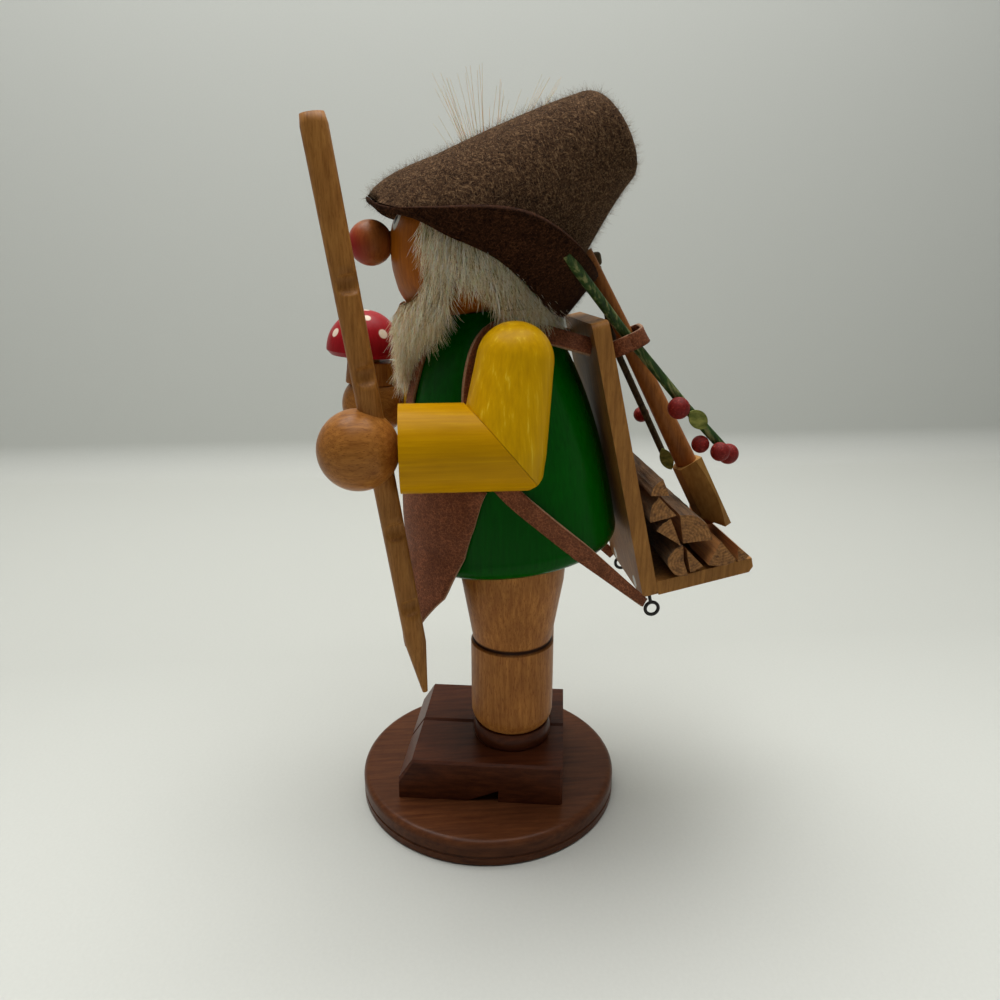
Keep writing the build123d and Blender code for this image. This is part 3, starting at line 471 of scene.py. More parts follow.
# %% Toadstool dots
dots = (
    (-8, 24, 1.5), (38, 30, 1.7), (84, 22, 1.4), (128, 34, 1.6), (172, 25, 1.5), (216, 33, 1.7),
    (262, 24, 1.4), (308, 32, 1.6), (15, 58, 1.5), (105, 60, 1.6), (195, 56, 1.5), (285, 60, 1.6),
    (60, 84, 1.5),
)
dome_radius, dome_height, dome_foot = 12.8, 13.6, 1.8
low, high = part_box("mushroom_cap")
middle = [(a + b) / 2 / MM for a, b in zip(low, high)]
dot_spots = []
for dot_turn, dot_lift, size in dots:
    a, e = radians(dot_turn), radians(dot_lift)
    centre = (
        middle[0] + dome_radius * cos(e) * cos(a),
        middle[1] + dome_radius * cos(e) * sin(a),
        low[2] / MM + dome_foot + dome_height * sin(e),
    )
    dot_spots.append((tone(220, 200, 178), centre, size))
cap = paint("toadstool_red", (150, 20, 27), (134, 13, 21), (156, 26, 33), Z)
dress(spotted(cap, dot_spots), "mushroom_cap")
print(len(dot_spots), "dots on the toadstool")

# %% [markdown]
# ## Small metal and dry plant finishes
# Tin dish and nails, black wire, a green stem with pale streaks, a yellowed leaf, a dry twig and frosted
# berries. On such small pieces layers don't show, so each is one noise.

# %% Tin, wire, twigs and berries
tin = plain_finish(
    "tin_plate", 0.45, [(0.3, 150, 148, 142), (0.7, 196, 194, 188)],
    (900.0, 90.0, 900.0), 3.0, Metallic=1.0,
)
wire = plain_finish(
    "black_wire", 0.4, [(0.35, 16, 15, 15), (0.75, 52, 48, 44)],
    (1500.0,) * 3, 3.0, Metallic=0.6,
)
stem = plain_finish(
    "green_stem", 0.6, [(0.34, 24, 40, 13), (0.52, 46, 72, 25), (0.66, 126, 126, 78)],
    (800.0, 800.0, 110.0), 4.0, 0.65, (-0.487, 0.0, 0.0), relief=0.5, strength=0.7, shine=0.2,
)
leaf = plain_finish(
    "yellow_leaf", 0.7, [(0.3, 74, 84, 30), (0.7, 146, 146, 72)],
    (700.0, 300.0, 700.0), 4.0, 0.6, relief=0.4, strength=0.6, shine=0.2,
)
dry_twig = plain_finish(
    "dry_twig", 0.8, [(0.3, 34, 26, 16), (0.7, 86, 70, 44)],
    (900.0, 900.0, 500.0), 4.0, relief=0.5, strength=0.8, shine=0.2,
)
berry = plain_finish(
    "frosted_berry", 0.6, [(0.38, 90, 13, 10), (0.6, 122, 26, 20), (0.74, 178, 100, 78)],
    (1400.0,) * 3, 5.0, 0.7, relief=0.3, strength=0.6, shine=0.2, Subsurface_Weight=0.05,
)
dress(tin, "burner_plate", "plate_nail", "shelf_nails")
dress(wire, "strap_hook_left", "strap_hook_right")
dress(stem, "twig_near")
dress(leaf, "twig_leaves")
dress(dry_twig, "twig_far", "alder_cone")
dress(berry, "berries")
print("small finishes set")

# %% [markdown]
# ## The coat's frame
# Straps and apron lie on the coat. A Shrinkwrap modifier could lay them on, but the outline that was
# turned, a radius at each height along the leaning axis, gives the points directly.

# %% Coat frame
lean = radians(6.8)
foot = vec(0.0, 8.8, 90.5)
axis, back = leaning(lean)
heights = np.array([0.0, 2.0, 6.0, 16.0, 26.0, 40.0, 54.0, 66.5, 76.0])
radii = np.array([30.5, 32.9, 33.6, 33.0, 31.8, 29.4, 25.9, 21.0, 15.6])


def coat_radius(height):
    return float(np.interp(height, heights, radii))


def on_coat(side, y, z, lift):
    there = vec(0.0, y, z)
    height, depth = there @ axis, there @ back
    radius = coat_radius(height) + lift
    x = side * sqrt(max(radius**2 - depth**2, 0.0))
    return foot + vec(x, y, z), (vec(x, 0, 0) + depth * back) / radius


print("coat is", radii.max() * 2, "mm across")

# %% [markdown]
# ## Leather
# Thin garment leather has a fine crackle. A noise has no closed cells, so a Voronoi pattern of about a
# millimetre makes it. Larger clouds give worn patches, and the middle of a stretched noise gives pale scuff
# lines.

# %% Leather finish
leather, tree, body = shader("crackled_leather", 0.66, shine=0.15)
near_cell = stretched(tree, (1050.0,) * 3)
cells = put(tree, "ShaderNodeTexVoronoi", {"feature": "DISTANCE_TO_EDGE"}, Vector=near_cell, Scale=1.0)
cell_edge = cells["Distance"]
tan = toned(tree, specks(tree, 150.0, 5.0), (0.3, 90, 48, 26), (0.7, 112, 64, 40))
crack = ramp(tree, cell_edge, (0.02, (1.5, 1.55, 1.6, 1.0)), (0.14, 0.95))
scuff = noise(tree, stretched(tree, (380.0, 380.0, 760.0), (0.6, 0.3, 0.4)), 4.0, 0.65)
scuffed = ramp(tree, scuff, (0.45, 1.0), (0.5, (1.7, 1.75, 1.8, 1.0)), (0.55, 1.0))
tan = mixed(tree, 1.0, tan, scuffed, "MULTIPLY")
shaded(tree, body, tan, crack)
bumped(tree, body, cell_edge, 0.3, 0.6)
cut_tones = [(0.3, 122, 84, 58), (0.7, 170, 128, 94)]
cut_edge = plain_finish("cut_leather_edge", 0.8, cut_tones, (2000.0,) * 3, 3.0)
print("leather ready")

# %% [markdown]
# ## Apron
# The apron is one sheet: a narrow bib, wide hips and a pointed tip in front of the legs. It could be
# simulated as cloth, but stiff leather hardly drapes, so its rows follow the coat to the hem and then hang
# free with soft waves. `outline` holds half the width at each height, and `flap` how far out it hangs.

# %% Apron
outline = np.array(
    [(67.5, 9.5), (48.5, 9.5), (45.5, 12.0), (30.5, 23.0), (27.0, 31.4), (15.5, 31.1), (4.0, 29.6),
     (-7.0, 28.2), (-18.0, 22.0), (-29.5, 13.0), (-35.0, 3.0), (-36.4, 0.4)]
)
flap = np.array([(7.0, 34.6), (-2.0, 36.8), (-13.0, 40.2), (-25.0, 40.2), (-34.0, 39.2)])
apron_top, apron_low, apron_lift, hem_height = 67.4, -36.3, 0.9, 7.0
wave_start, wave_span, big_wave, small_wave = -2.0, 34.0, 0.9, 0.5
rows, columns, tries = 72, 40, 12
grid = np.zeros((rows, columns, 3))
for row in range(rows):
    z = apron_top - row / (rows - 1) * (apron_top - apron_low)
    half = np.interp(-z, -outline[:, 0], outline[:, 1])
    for column in range(columns):
        x = (-1 + 2 * column / (columns - 1)) * half
        y = -30.0
        for _ in range(tries):
            height = vec(0.0, y, z) @ axis
            low_radius = np.interp(-height, -flap[:, 0], flap[:, 1])
            radius = low_radius if height < hem_height else coat_radius(height) + apron_lift
            depth = -sqrt(max(radius**2 - x**2, 1.0))
            y = (depth - z * sin(lean)) / cos(lean)
        free = max(0.0, -z + wave_start) / wave_span
        y += free * (big_wave * sin(x * 0.33 + 0.6) - small_wave * cos(x * 0.14 + z * 0.05))
        grid[row, column] = foot + vec(x, y, z)
sheet_faces = grid_faces(rows, columns)
apron = solid_piece("leather_apron", grid.reshape(-1, 3), sheet_faces, (leather, cut_edge))
thickened(apron, 1.0, rim_finish=1)
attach(apron, "upper_figure")
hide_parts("apron")
tell(apron)

# %% [markdown]
# ## The pack's frame and ribbons
# The board leans against the coat, and everything on the pack is placed from its lower corner. Straps could
# be bevelled curves, but those twist, so a ribbon is swept with its flat side towards given normals.

# %% Pack frame and ribbons
pack_lean = radians(12.9)
rise, out = leaning(pack_lean)
tilt = pack_lean - lean
coat_bulges = ((33.6, 6.0), (31.8, 26.0), (25.9, 54.0))
board_gap, board_thick, board_drop = 0.3, 5.0, 16.0
reach = max(r * cos(tilt) + h * sin(tilt) for r, h in coat_bulges)
corner = foot + (reach + board_gap + board_thick) * out - board_drop * rise


def on_pack(x, outward, upward):
    return corner + vec(x, 0.0, 0.0) + outward * out + upward * rise


def smooth_line(points, count):
    points = np.array(points)
    lengths = np.concatenate(([0], np.cumsum(np.linalg.norm(np.diff(points, axis=0), axis=1))))
    places = np.linspace(0, lengths[-1], count)
    line = np.stack([np.interp(places, lengths, points[:, k]) for k in range(points.shape[1])], axis=1)
    for _ in range(max(2, count // 10)):
        line[1:-1] = (line[:-2] + 2 * line[1:-1] + line[2:]) / 4
    return line


def unit(way):
    return way / np.linalg.norm(way)


def ribbon(name, line, normals, widths, thickness, curl=0.15):
    count, across = len(line), 7
    points = []
    for k in range(count):
        way = unit(line[min(k + 1, count - 1)] - line[max(k - 1, 0)])
        normal = unit(normals[k] - (normals[k] @ way) * way)
        side = np.cross(way, normal)
        for c in range(across):
            t = -1 + 2 * c / (across - 1)
            points.append(line[k] + side * t * widths[k] / 2 + normal * curl * (t * t - 0.4))
    piece = solid_piece(name, points, grid_faces(count, across), (leather, cut_edge))
    return thickened(piece, thickness, rim_finish=1)


print("pack leans", round(math.degrees(pack_lean), 1), "degrees")

# %% [markdown]
# ## Straps
# Each strap is nailed to the board, goes over the shoulder, under the arm and round the waist, and ends in
# a wire hook. A few points seen in the photo are smoothed into its line: surer than a simulation.

# %% Straps
strap_path = (
    (5.2, 69.5), (-5.8, 73.0), (-13.3, 67.0), (-15.3, 56.5), (-15.8, 46.5), (-12.8, 35.5), (-5.8, 26.5),
    (3.2, 19.0), (13.2, 10.0),
)
strap_lift, strap_width, strap_end = 0.85, 5.6, 3.0
coat_points, tail_points, taper_points, strap_points = 40, 16, 14, 58
for side, name in ((1, "left"), (-1, "right")):
    ring = on_pack(side * 20.0, -2.5, -9.5)
    nailed = on_pack(side * 16.5, -5.2, 75.0)
    pairs = [on_coat(side, y, z, strap_lift) for y, z in smooth_line(strap_path, coat_points)]
    tail_start = pairs[-1][0]
    tail = [tail_start + (ring - tail_start) * s for s in np.linspace(0.06, 0.90, tail_points)]
    line = [nailed, (nailed + pairs[0][0]) / 2] + [p for p, n in pairs] + tail
    top_facing, tail_facing = vec(side * 0.8, 0, 0.6), vec(side * 0.86, 0.5, 0.0)
    facing = [top_facing] * 2 + [n for p, n in pairs] + [tail_facing] * tail_points
    wide = [strap_width] * (strap_points - taper_points)
    wide += list(np.linspace(strap_width, strap_end, taper_points))
    line, facing = smooth_line(line, strap_points), smooth_line(facing, strap_points)
    strap = ribbon(f"leather_strap_{name}", line, facing, wide, 1.0)
    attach(strap, "upper_figure")
    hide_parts(f"strap_{name}")
    tell(strap)

# %% [markdown]
# ## Loop on the board
# A short strap is bent into a loop that holds the axe handle and the twigs against the board. Seen along
# the handle it is a rounded box, and a formula for that is shorter than a path of points.

# %% Loop
axe_top, axe_low, loop_height = (-5.0, 2.3, 100.8), (1.5, 27.2, 7.4), 72.5
half_wide, half_deep, squareness = 10.05, 5.95, 3.2
loop_across, loop_inward, loop_sway, flatter = 4.9, 2.2, 0.25, 1.6
loop_width, loop_steps = 5.0, 48
handle_top, handle_low = on_pack(*axe_top), on_pack(*axe_low)
down = unit(handle_low - handle_top)
loop_share = (axe_top[2] - loop_height) / (axe_top[2] - axe_low[2])
wide_way = unit(vec(1.0, 0.0, 0.0) - down[0] * down)
deep_way = np.cross(-down, wide_way)
centre = handle_top + loop_share * (handle_low - handle_top)
centre = centre + loop_across * wide_way - loop_inward * deep_way
line, facing = [], []
for k in range(loop_steps + 1):
    angle = 2 * pi * k / loop_steps
    c, s = cos(angle), sin(angle)
    radius = (abs(c / half_wide) ** squareness + abs(s / half_deep) ** squareness) ** (-1 / squareness)
    sway = loop_sway * sin(3 * angle) * down
    line.append(centre + radius * (c * wide_way + s * deep_way) + sway)
    facing.append(c * wide_way + flatter * s * deep_way)
widths = [loop_width] * len(line)
loop = ribbon("leather_loop_strap", np.array(line), np.array(facing), widths, 1.1, 0.1)
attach(loop, "upper_figure")
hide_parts("leather_loop")
tell(loop)

# %% [markdown]
# ## Firewood finishes
# A split log has bark on its round side, raw wood on two flat sides and growth rings at the ends. Rings in
# Object coordinates would miss the heart of each log, so a UV map holds the distance from it.

# %% Firewood finishes
bark = plain_finish(
    "log_bark", 0.9, [(0.3, 50, 34, 21), (0.7, 120, 86, 52)],
    (120.0, 700.0, 700.0), 6.0, 0.7, relief=0.8, strength=0.9,
)
raw = plain_finish(
    "log_split", 0.75, [(0.3, 110, 66, 30), (0.7, 172, 115, 57)],
    (60.0, 900.0, 900.0), 5.0, 0.65, relief=0.4, strength=0.6,
)
rings, tree, body = shader("log_end", 0.8)
place = put(tree, "ShaderNodeUVMap", {"uv_map": "heart"})[0]
year_settings = {"wave_type": "RINGS", "rings_direction": "Z"}
year = put(tree, "ShaderNodeTexWave", year_settings, Vector=place, Scale=3.2, Distortion=3.0, Detail=3.0)
rough_cut = specks(tree, 700.0, 5.0, 0.7)
wood_end = toned(tree, year["Fac"], (0.1, 148, 100, 50), (0.9, 172, 120, 63))
# The end grain is darker where the rough cut's bump is low.
darker_in_dips = ramp(tree, rough_cut, (0.36, (0.36, 0.32, 0.28, 1.0)), (0.6, 1.0))
shaded(tree, body, wood_end, darker_in_dips)
bumped(tree, body, rough_cut, 0.7, 0.9)
print("firewood finishes ready")

# %% [markdown]
# ## Firewood
# Each log is a sector of a branch. Eight copies would look alike, so each row holds its heart's place
# outward and upward, its radius, the bark's first and last angle, and the far and near end. Random steps
# make the outline uneven.

# %% Firewood pieces
logs = (
    (9.3, 5.4, 5.2, 85.0, 275.0, -22.6, 23.6),
    (10.9, 8.6, 8.2, -90.0, -58.0, -23.4, 22.8),
    (21.5, 9.0, 8.7, -128.0, -62.0, -22.0, 24.2),
    (26.9, 5.4, 5.0, -100.0, -52.0, -23.0, 23.2),
    (9.0, 10.9, 9.5, 100.0, 135.0, -23.2, 24.0),
    (10.2, 10.95, 9.6, -8.0, 88.0, -22.4, 23.0),
    (9.4, 20.6, 8.8, 122.0, 180.0, -23.6, 23.8),
    (8.0, 27.6, 5.8, 100.0, 165.0, -22.2, 24.4),
)
arc_points, steps = 9, 13
bark_uneven, wobble_size, saw_uneven, heart_scale = 0.05, 0.04, 0.5, 0.1
chance = np.random.default_rng(11)
for number, (heart_out, heart_up, radius, first, last, far, near) in enumerate(logs, 1):
    arc = np.radians(np.linspace(first, last, arc_points))
    bumps = radius * (1 - bark_uneven * chance.random(arc_points))
    edge = [(b * cos(a), b * sin(a)) for a, b in zip(arc, bumps)]
    edge += [(share * edge[-1][0], share * edge[-1][1]) for share in (0.66, 0.33, 0.0)]
    edge += [(share * edge[0][0], share * edge[0][1]) for share in (0.33, 0.66)]
    ring_size = len(edge)
    points = []
    for k in range(steps):
        x = far + (near - far) * k / (steps - 1)
        wobble = 1.0 - wobble_size * chance.random()
        for a, b in edge:
            end_cut = saw_uneven * (chance.random() - 0.5) if k in (0, steps - 1) else 0.0
            points.append(on_pack(x + end_cut, heart_out + a * wobble, heart_up + b * wobble))
    faces = ring_faces(steps, ring_size)
    kinds = ([0] * (arc_points - 1) + [1] * (ring_size - arc_points + 1)) * (steps - 1)
    for start in (0, (steps - 1) * ring_size):
        middle = len(points)
        points.append(np.mean(points[start : start + ring_size], axis=0))
        faces += [(start + c, start + (c + 1) % ring_size, middle) for c in range(ring_size)]
        kinds += [2] * ring_size
    log = solid_piece(f"split_log_{number}", points, faces, (bark, raw, rings), smooth=False)
    heart = log.data.uv_layers.new(name="heart")
    for face in log.data.polygons:
        face.material_index = kinds[face.index]
        for index in face.loop_indices:
            point = np.array(log.data.vertices[log.data.loops[index].vertex_index].co) / MM - corner
            from_heart = (point @ out - heart_out, point @ rise - heart_up)
            heart.data[index].uv = [heart_scale * d for d in from_heart]
    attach(log, "upper_figure")
    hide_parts(f"log_{number}")
print(len(logs), "logs split")

# %% [markdown]
# ## Felt
# Pressed felt is a mat of fibres. One noise looks like clouds, so three, stretched and turned different
# ways, are laid over each other and the lightest shows. Fold and brim get a darker copy of the felt: painted
# shade.


# %% Felt finish
def felt_finish(name, *stops):
    finish, tree, body = shader(name, 0.95, shine=0.05)
    layers = [
        noise(tree, stretched(tree, (2600.0, 480.0, 1500.0), way), 3.0, 0.65)
        for way in ((0.4, 0.2, 0.3), (1.2, 0.7, 1.9), (2.0, 1.1, 0.8))
    ]
    fluff = mixed(tree, 1.0, layers[0], layers[1], "LIGHTEN")
    fluff = mixed(tree, 1.0, fluff, layers[2], "LIGHTEN")
    shade = ramp(tree, specks(tree, 140.0), (0.3, (0.7, 0.68, 0.66, 1.0)), (0.7, 1.0))
    shaded(tree, body, toned(tree, fluff, *stops), shade)
    bumped(tree, body, fluff, 0.6, 0.8)
    return finish


def fuzz_strand(name, *stops):
    return plain_finish(name, 0.9, stops, (900.0,) * 3, 2.0, shine=0.1)


felt = felt_finish("pressed_felt", (0.46, 37, 24, 16), (0.58, 82, 59, 41), (0.72, 146, 116, 84))
# Darker copies of the felt and its fuzz for the fold and brim, which face down: painted shade.
felt_painted_shade = felt_finish("brim_felt_painted_shade", (0.46, 26, 12, 6), (0.58, 56, 32, 19), (0.72, 92, 60, 38))
fuzz_finish = fuzz_strand("felt_fuzz", (0.35, 66, 48, 34), (0.65, 164, 136, 104))
fuzz_painted_shade = fuzz_strand("brim_fuzz_painted_shade_finish", (0.35, 34, 19, 11), (0.65, 84, 56, 36))
print("felt ready")

# %% [markdown]
# ## The hat's tables
# The hat could be sculpted, but tables can be measured and corrected. A crown section has a place back and
# up, two half sizes and a tilt, and curves through four of them give every level from the brim, 0, to the
# top, 3. The brim's rows hold degrees from the front, how far the fold rises and how tall the brim is.

# %% Hat tables
sections = np.array(
    [(-16.1, 92.0, 31.9, 26.0, 31.1), (-1.05, 103.6, 25.1, 24.3, 36.8), (14.9, 115.9, 18.0, 19.6, 46.4),
     (28.4, 124.5, 13.05, 15.3, 59.1)]
)
fits = [np.polyfit(range(4), sections[:, k], 3) for k in range(5)]
brim_table = np.array(
    [(0, -1.5, 0.1), (20, -1.5, 0.1), (30, -2.0, 0.2), (40, -1.6, 0.4), (50, -0.4, 0.8), (60, 1.2, 1.5),
     (70, 1.6, 3.6), (80, 1.8, 6.6), (90, 2.9, 8.8), (100, 3.6, 10.8), (110, 3.7, 12.2), (120, 3.4, 13.0),
     (130, 2.8, 13.6), (140, 2.0, 14.0), (150, 1.5, 13.8), (160, 1.6, 13.2), (170, 2.0, 12.6),
     (180, 2.4, 12.4)]
)
around, inset = 144, 0.8
turns = np.linspace(0.0, 2 * pi, around, endpoint=False)
from_front = np.degrees(np.abs((turns + pi) % (2 * pi) - pi))


def calm(degrees, values):
    values = np.interp(from_front, degrees, values)
    for _ in range(4):
        values = (np.roll(values, 1) + 2 * values + np.roll(values, -1)) / 4
    return values


# The fold is sharp at the sides and fades out at the front, where the rim is also drawn in a little, and at
# the back it is a wider roll.
least_roll = 0.6
drops = calm(brim_table[:, 0], brim_table[:, 1])
talls = calm(brim_table[:, 0], brim_table[:, 2])
sharps = calm((25, 62), (0.12, 1.0))
outs = calm((0, 25, 50), (-1.4, -1.2, 0.0))
rolls = calm((105, 145, 180), (least_roll, 2.3, 2.6))
rim = list(zip(turns, drops, talls, sharps, outs, rolls))
print("brim stands", round(talls.max(), 1), "mm tall")

# %% [markdown]
# ## Felt hat
# The hat is one piece of felt with a leaning crown and a turned-up brim. It is one run of rings, down the
# crown, round the fold and up the brim to its cut edge, so that it has no seam.

# %% Hat shape
crown_round, level_height, top_level = 3.4, 16.0, 3.0
crown_top = ((-11.5, 0.6), (-8.0, 0.45))
crown_levels = 2.7 * np.linspace(1.0, 0.0, 22) ** 1.3
front_bulge, bulge_level, bulge_degrees = 2.8, 0.9, 38.0
fold_turns, fold_inset = (-65, -40, -15, 10, 35), 0.4
brim_rows, brim_taller, brim_gap, brim_sink = 8, 1.07, 0.3, 0.2
long_flare, wide_flare, unroll, felt_thick = 0.26, 0.6, 0.45, 1.9


def hat_ring(level, grow_long, grow_wide, lift, angle):
    back_at, up_at, long, wide, tilted = (np.polyval(fit, level) for fit in fits)
    t = radians(tilted)
    normal = vec(0.0, sin(t), cos(t))
    rear = vec(0.0, cos(t), -sin(t))
    x, y = (wide + grow_wide) * sin(angle), -(long + grow_long) * cos(angle)
    return foot + vec(x, back_at, up_at) + y * rear + lift * normal


def brim_point(angle, drop, height, sharp, out_by, roll):
    foot_out = brim_gap + 2 * (roll - least_roll)
    long, wide = (sharp * (inset + foot_out + f * height) - inset for f in (long_flare, wide_flare))
    return hat_ring(0.0, long + out_by, wide, drop + sharp * (height - brim_sink), angle)


points = []
for grown, lift in crown_top:
    points += [hat_ring(top_level, grown, grown, lift, a) for a in turns]
for k in range(6):
    phi = radians(90 - 18 * k)
    grown = -inset - crown_round * (1 - cos(phi))
    level = top_level - crown_round * (1 - sin(phi)) / level_height
    points += [hat_ring(level, grown, grown, 0.0, a) for a in turns]
for level in crown_levels:
    share = max(0.0, 1.0 - level) ** 2
    bulge = front_bulge * sin(pi * min(1.0, level / bulge_level) ** 0.5)
    for a, drop, degrees, out_by in zip(turns, drops, from_front, outs):
        lift = share * drop + bulge * math.exp(-((degrees / bulge_degrees) ** 2))
        points.append(hat_ring(level, share * out_by - inset, -inset, lift, a))
for fold in fold_turns:
    across, below = sin(radians(fold)), cos(radians(fold))
    for a, drop, tall, sharp, out_by, roll in rim:
        grown = sharp * (inset - fold_inset + roll * (1 + across)) - inset
        points.append(hat_ring(0.0, grown + out_by, grown, drop - sharp * roll * below, a))
for share in np.linspace(0.0, 1.0, brim_rows):
    for a, drop, tall, sharp, out_by, roll in rim:
        wider = roll - least_roll
        height = share * (tall * brim_taller - 0.5 * wider) - 0.3 * wider * (1 - share)
        roll_now = roll * (1 - unroll * share) + least_roll * unroll * share
        points.append(brim_point(a, drop, height, sharp, out_by, roll_now))
rings_count = len(points) // around
faces = ring_faces(rings_count, around)
brim_start = (rings_count - len(fold_turns) - brim_rows) * around
brim_end = len(faces)
top = len(points)
ends = [hat_ring(top_level, 0.0, 0.0, 0.7, a) for a in (0.0, pi)]
points.append(ends[0] * 0.5 + ends[1] * 0.5)
faces += [((k + 1) % around, k, top) for k in range(around)]
hat = solid_piece("felt_hat", points, faces, (felt, felt_painted_shade))
# Fold and brim faces take the darker felt: painted shade.
for face in hat.data.polygons:
    face.material_index = 1 if brim_start <= face.index < brim_end else 0
thickened(hat, felt_thick)
tell(hat)

# %% [markdown]
# ## Strands
# Fuzz and fur are strands on a surface. Hair curves are no mesh that could be handed on, so a Geometry
# Nodes tree scatters points, turns a thin bent cone along the `flow` attribute and gives each its own
# length.

# %% Strand tree
strand_sides, tip_share, shortest, longest = 3, 0.2, 0.55, 1.15
full_turn = 6.283


def strand_tree(name, finish, segments):
    tree = bpy.data.node_groups.new(name, "GeometryNodeTree")
    tree.interface.new_socket("Geometry", in_out="OUTPUT", socket_type="NodeSocketGeometry")
    sizes = [(label, "Float") for label in ("Density", "Length", "Thickness", "Bend", "Spread")]
    for label, kind in (("Geometry", "Geometry"), *sizes, ("Seed", "Int")):
        tree.interface.new_socket(label, in_out="INPUT", socket_type="NodeSocket" + kind)
    source = put(tree, "NodeGroupInput")
    long, thick, seed = source["Length"], source["Thickness"], source["Seed"]
    scatter = put(
        tree, "GeometryNodeDistributePointsOnFaces",
        Mesh=source["Geometry"], Density=source["Density"], Seed=seed,
    )
    cone = put(
        tree, "GeometryNodeMeshCone", {"fill_type": "NONE"}, Vertices=strand_sides, Side_Segments=segments,
        Radius_Top=maths(tree, "MULTIPLY", thick, tip_share), Radius_Bottom=thick, Depth=long,
    )
    place = put(tree, "GeometryNodeInputPosition")[0]
    height = put(tree, "ShaderNodeSeparateXYZ", Vector=place)["Z"]
    square = maths(tree, "POWER", maths(tree, "DIVIDE", height, long), 2.0)
    shift = maths(tree, "MULTIPLY", square, maths(tree, "MULTIPLY", source["Bend"], long))
    offset = put(tree, "ShaderNodeCombineXYZ", X=shift)[0]
    bent = put(tree, "GeometryNodeSetPosition", Geometry=cone["Mesh"], Offset=offset)
    vector_kind = {"data_type": "FLOAT_VECTOR"}
    flow = put(tree, "GeometryNodeInputNamedAttribute", vector_kind, Name="flow")
    stray = put(tree, "FunctionNodeRandomValue", vector_kind, i0=(-1.0, -1.0, -1.0), Seed=seed)
    loose = vectors(tree, "SCALE", stray[0], Scale=source["Spread"])[0]
    way = vectors(tree, "ADD", flow[0], i1=loose)[0]
    aim = put(tree, "FunctionNodeAlignRotationToVector", {"axis": "Z"}, Vector=way)[0]
    twist = put(tree, "FunctionNodeRandomValue", {"data_type": "FLOAT"}, Max=full_turn)
    spin = put(tree, "ShaderNodeCombineXYZ", Z=twist[1])[0]
    local = {"rotation_space": "LOCAL"}
    turned = put(tree, "FunctionNodeRotateRotation", local, Rotation=aim, Rotate_By=spin)
    size = put(tree, "FunctionNodeRandomValue", {"data_type": "FLOAT"}, Min=shortest, Max=longest)
    stand = put(
        tree, "GeometryNodeInstanceOnPoints", Points=scatter["Points"], Instance=bent[0],
        Rotation=turned[0], Scale=size[1],
    )
    real = put(tree, "GeometryNodeRealizeInstances", Geometry=stand[0])
    coloured = put(tree, "GeometryNodeSetMaterial", Geometry=real[0], Material=finish)
    put(tree, "NodeGroupOutput", Geometry=coloured[0])
    return tree


fuzz_tree = strand_tree("felt_fuzz_strands", fuzz_finish, 2)
painted_shade_fuzz_tree = strand_tree("brim_fuzz_painted_shade_strands", fuzz_painted_shade, 2)
print("strand trees ready")

# %% [markdown]
# ## Growing strands
# `grow` writes the flow of every point of a surface and runs the tree. Hairs that all lie alike look
# combed, so with a wisp size in mm neighbours lean towards shared tips. The fuzz stands on the hat's outer
# faces.

# %% Felt fuzz
wisp_pull = 0.08
inside = Vector(foot + vec(0.0, 2.0, 104.0)) * MM


def grow(name, base, tree, flow, wisp=0.0, **sizes):
    rooted = placed(name, base.data.copy())
    lie = rooted.data.attributes.new("flow", "FLOAT_VECTOR", "POINT")
    places = np.array([vertex.co for vertex in rooted.data.vertices]) / MM
    ways = np.array([flow(p, np.array(v.normal)) for p, v in zip(places, rooted.data.vertices)])
    if wisp:
        count = int(sum(face.area for face in rooted.data.polygons) / (wisp * MM) ** 2)
        tips = places[np.random.default_rng(29).choice(len(places), count, replace=False)]
        nearest = [int(np.argmin(((tips - p) ** 2).sum(axis=1))) for p in places]
        ways += wisp_pull * (tips[nearest] - places)
    for vertex, way in zip(rooted.data.vertices, ways):
        lie.data[vertex.index].vector = way
    modifier = rooted.modifiers.new("strands", "NODES")
    modifier.node_group = tree
    for item in tree.interface.items_tree:
        if item.in_out == "INPUT" and item.name in sizes:
            modifier[item.identifier] = sizes[item.name]
    finished(rooted)
    tell(rooted)
    return rooted


def outer_skin(name, part):
    skin = bmesh.new()
    skin.from_mesh(hat.data)
    hidden = [
        face for face in skin.faces
        if (face.calc_center_median() - inside).dot(face.normal) < 0 or face.material_index != part
    ]
    bmesh.ops.delete(skin, geom=hidden, context="FACES")
    piece = bpy.data.objects.new(name, bpy.data.meshes.new(name))
    skin.to_mesh(piece.data)
    skin.free()
    return piece


def fuzz_flow(p, n):
    return 0.6 * n + vec(0.0, 0.1, -0.1)


# The brim's fuzz uses the darker strands: painted shade.
for part, name, tree, dense, long in (
    (0, "hat_fuzz", fuzz_tree, 1.4e6, 2.3), (1, "brim_fuzz", painted_shade_fuzz_tree, 1.0e6, 1.6),
):
    skin = outer_skin(name + "_skin", part)
    fuzz = grow(
        name, skin, tree, fuzz_flow,
        Density=dense, Length=long * MM, Thickness=0.03 * MM, Bend=0.7, Spread=0.8, Seed=3,
    )
    bpy.data.objects.remove(skin)
    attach(fuzz, "upper_figure")
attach(hat, "upper_figure")
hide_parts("hat")

# %% [markdown]
# ## Hides under the fur
# The beard is a strip of fur from the brim to a point on the chest, and a second strip goes round the back
# of the head. The CAD solids have these outlines already, so each hide is one of them drawn in a little,
# and a narrow band tucks the fur in under the felt.


# %% Fur hides
def fur_finish(name, *stops):
    return plain_finish(
        name, 0.7, stops, (1100.0, 1100.0, 120.0), 3.0,
        shine=0.2, Subsurface_Weight=0.3, Subsurface_Scale=0.5 * MM,
    )


fur = fur_finish("cream_fur", (0.34, 188, 163, 116), (0.5, 236, 221, 187), (0.66, 252, 248, 236))
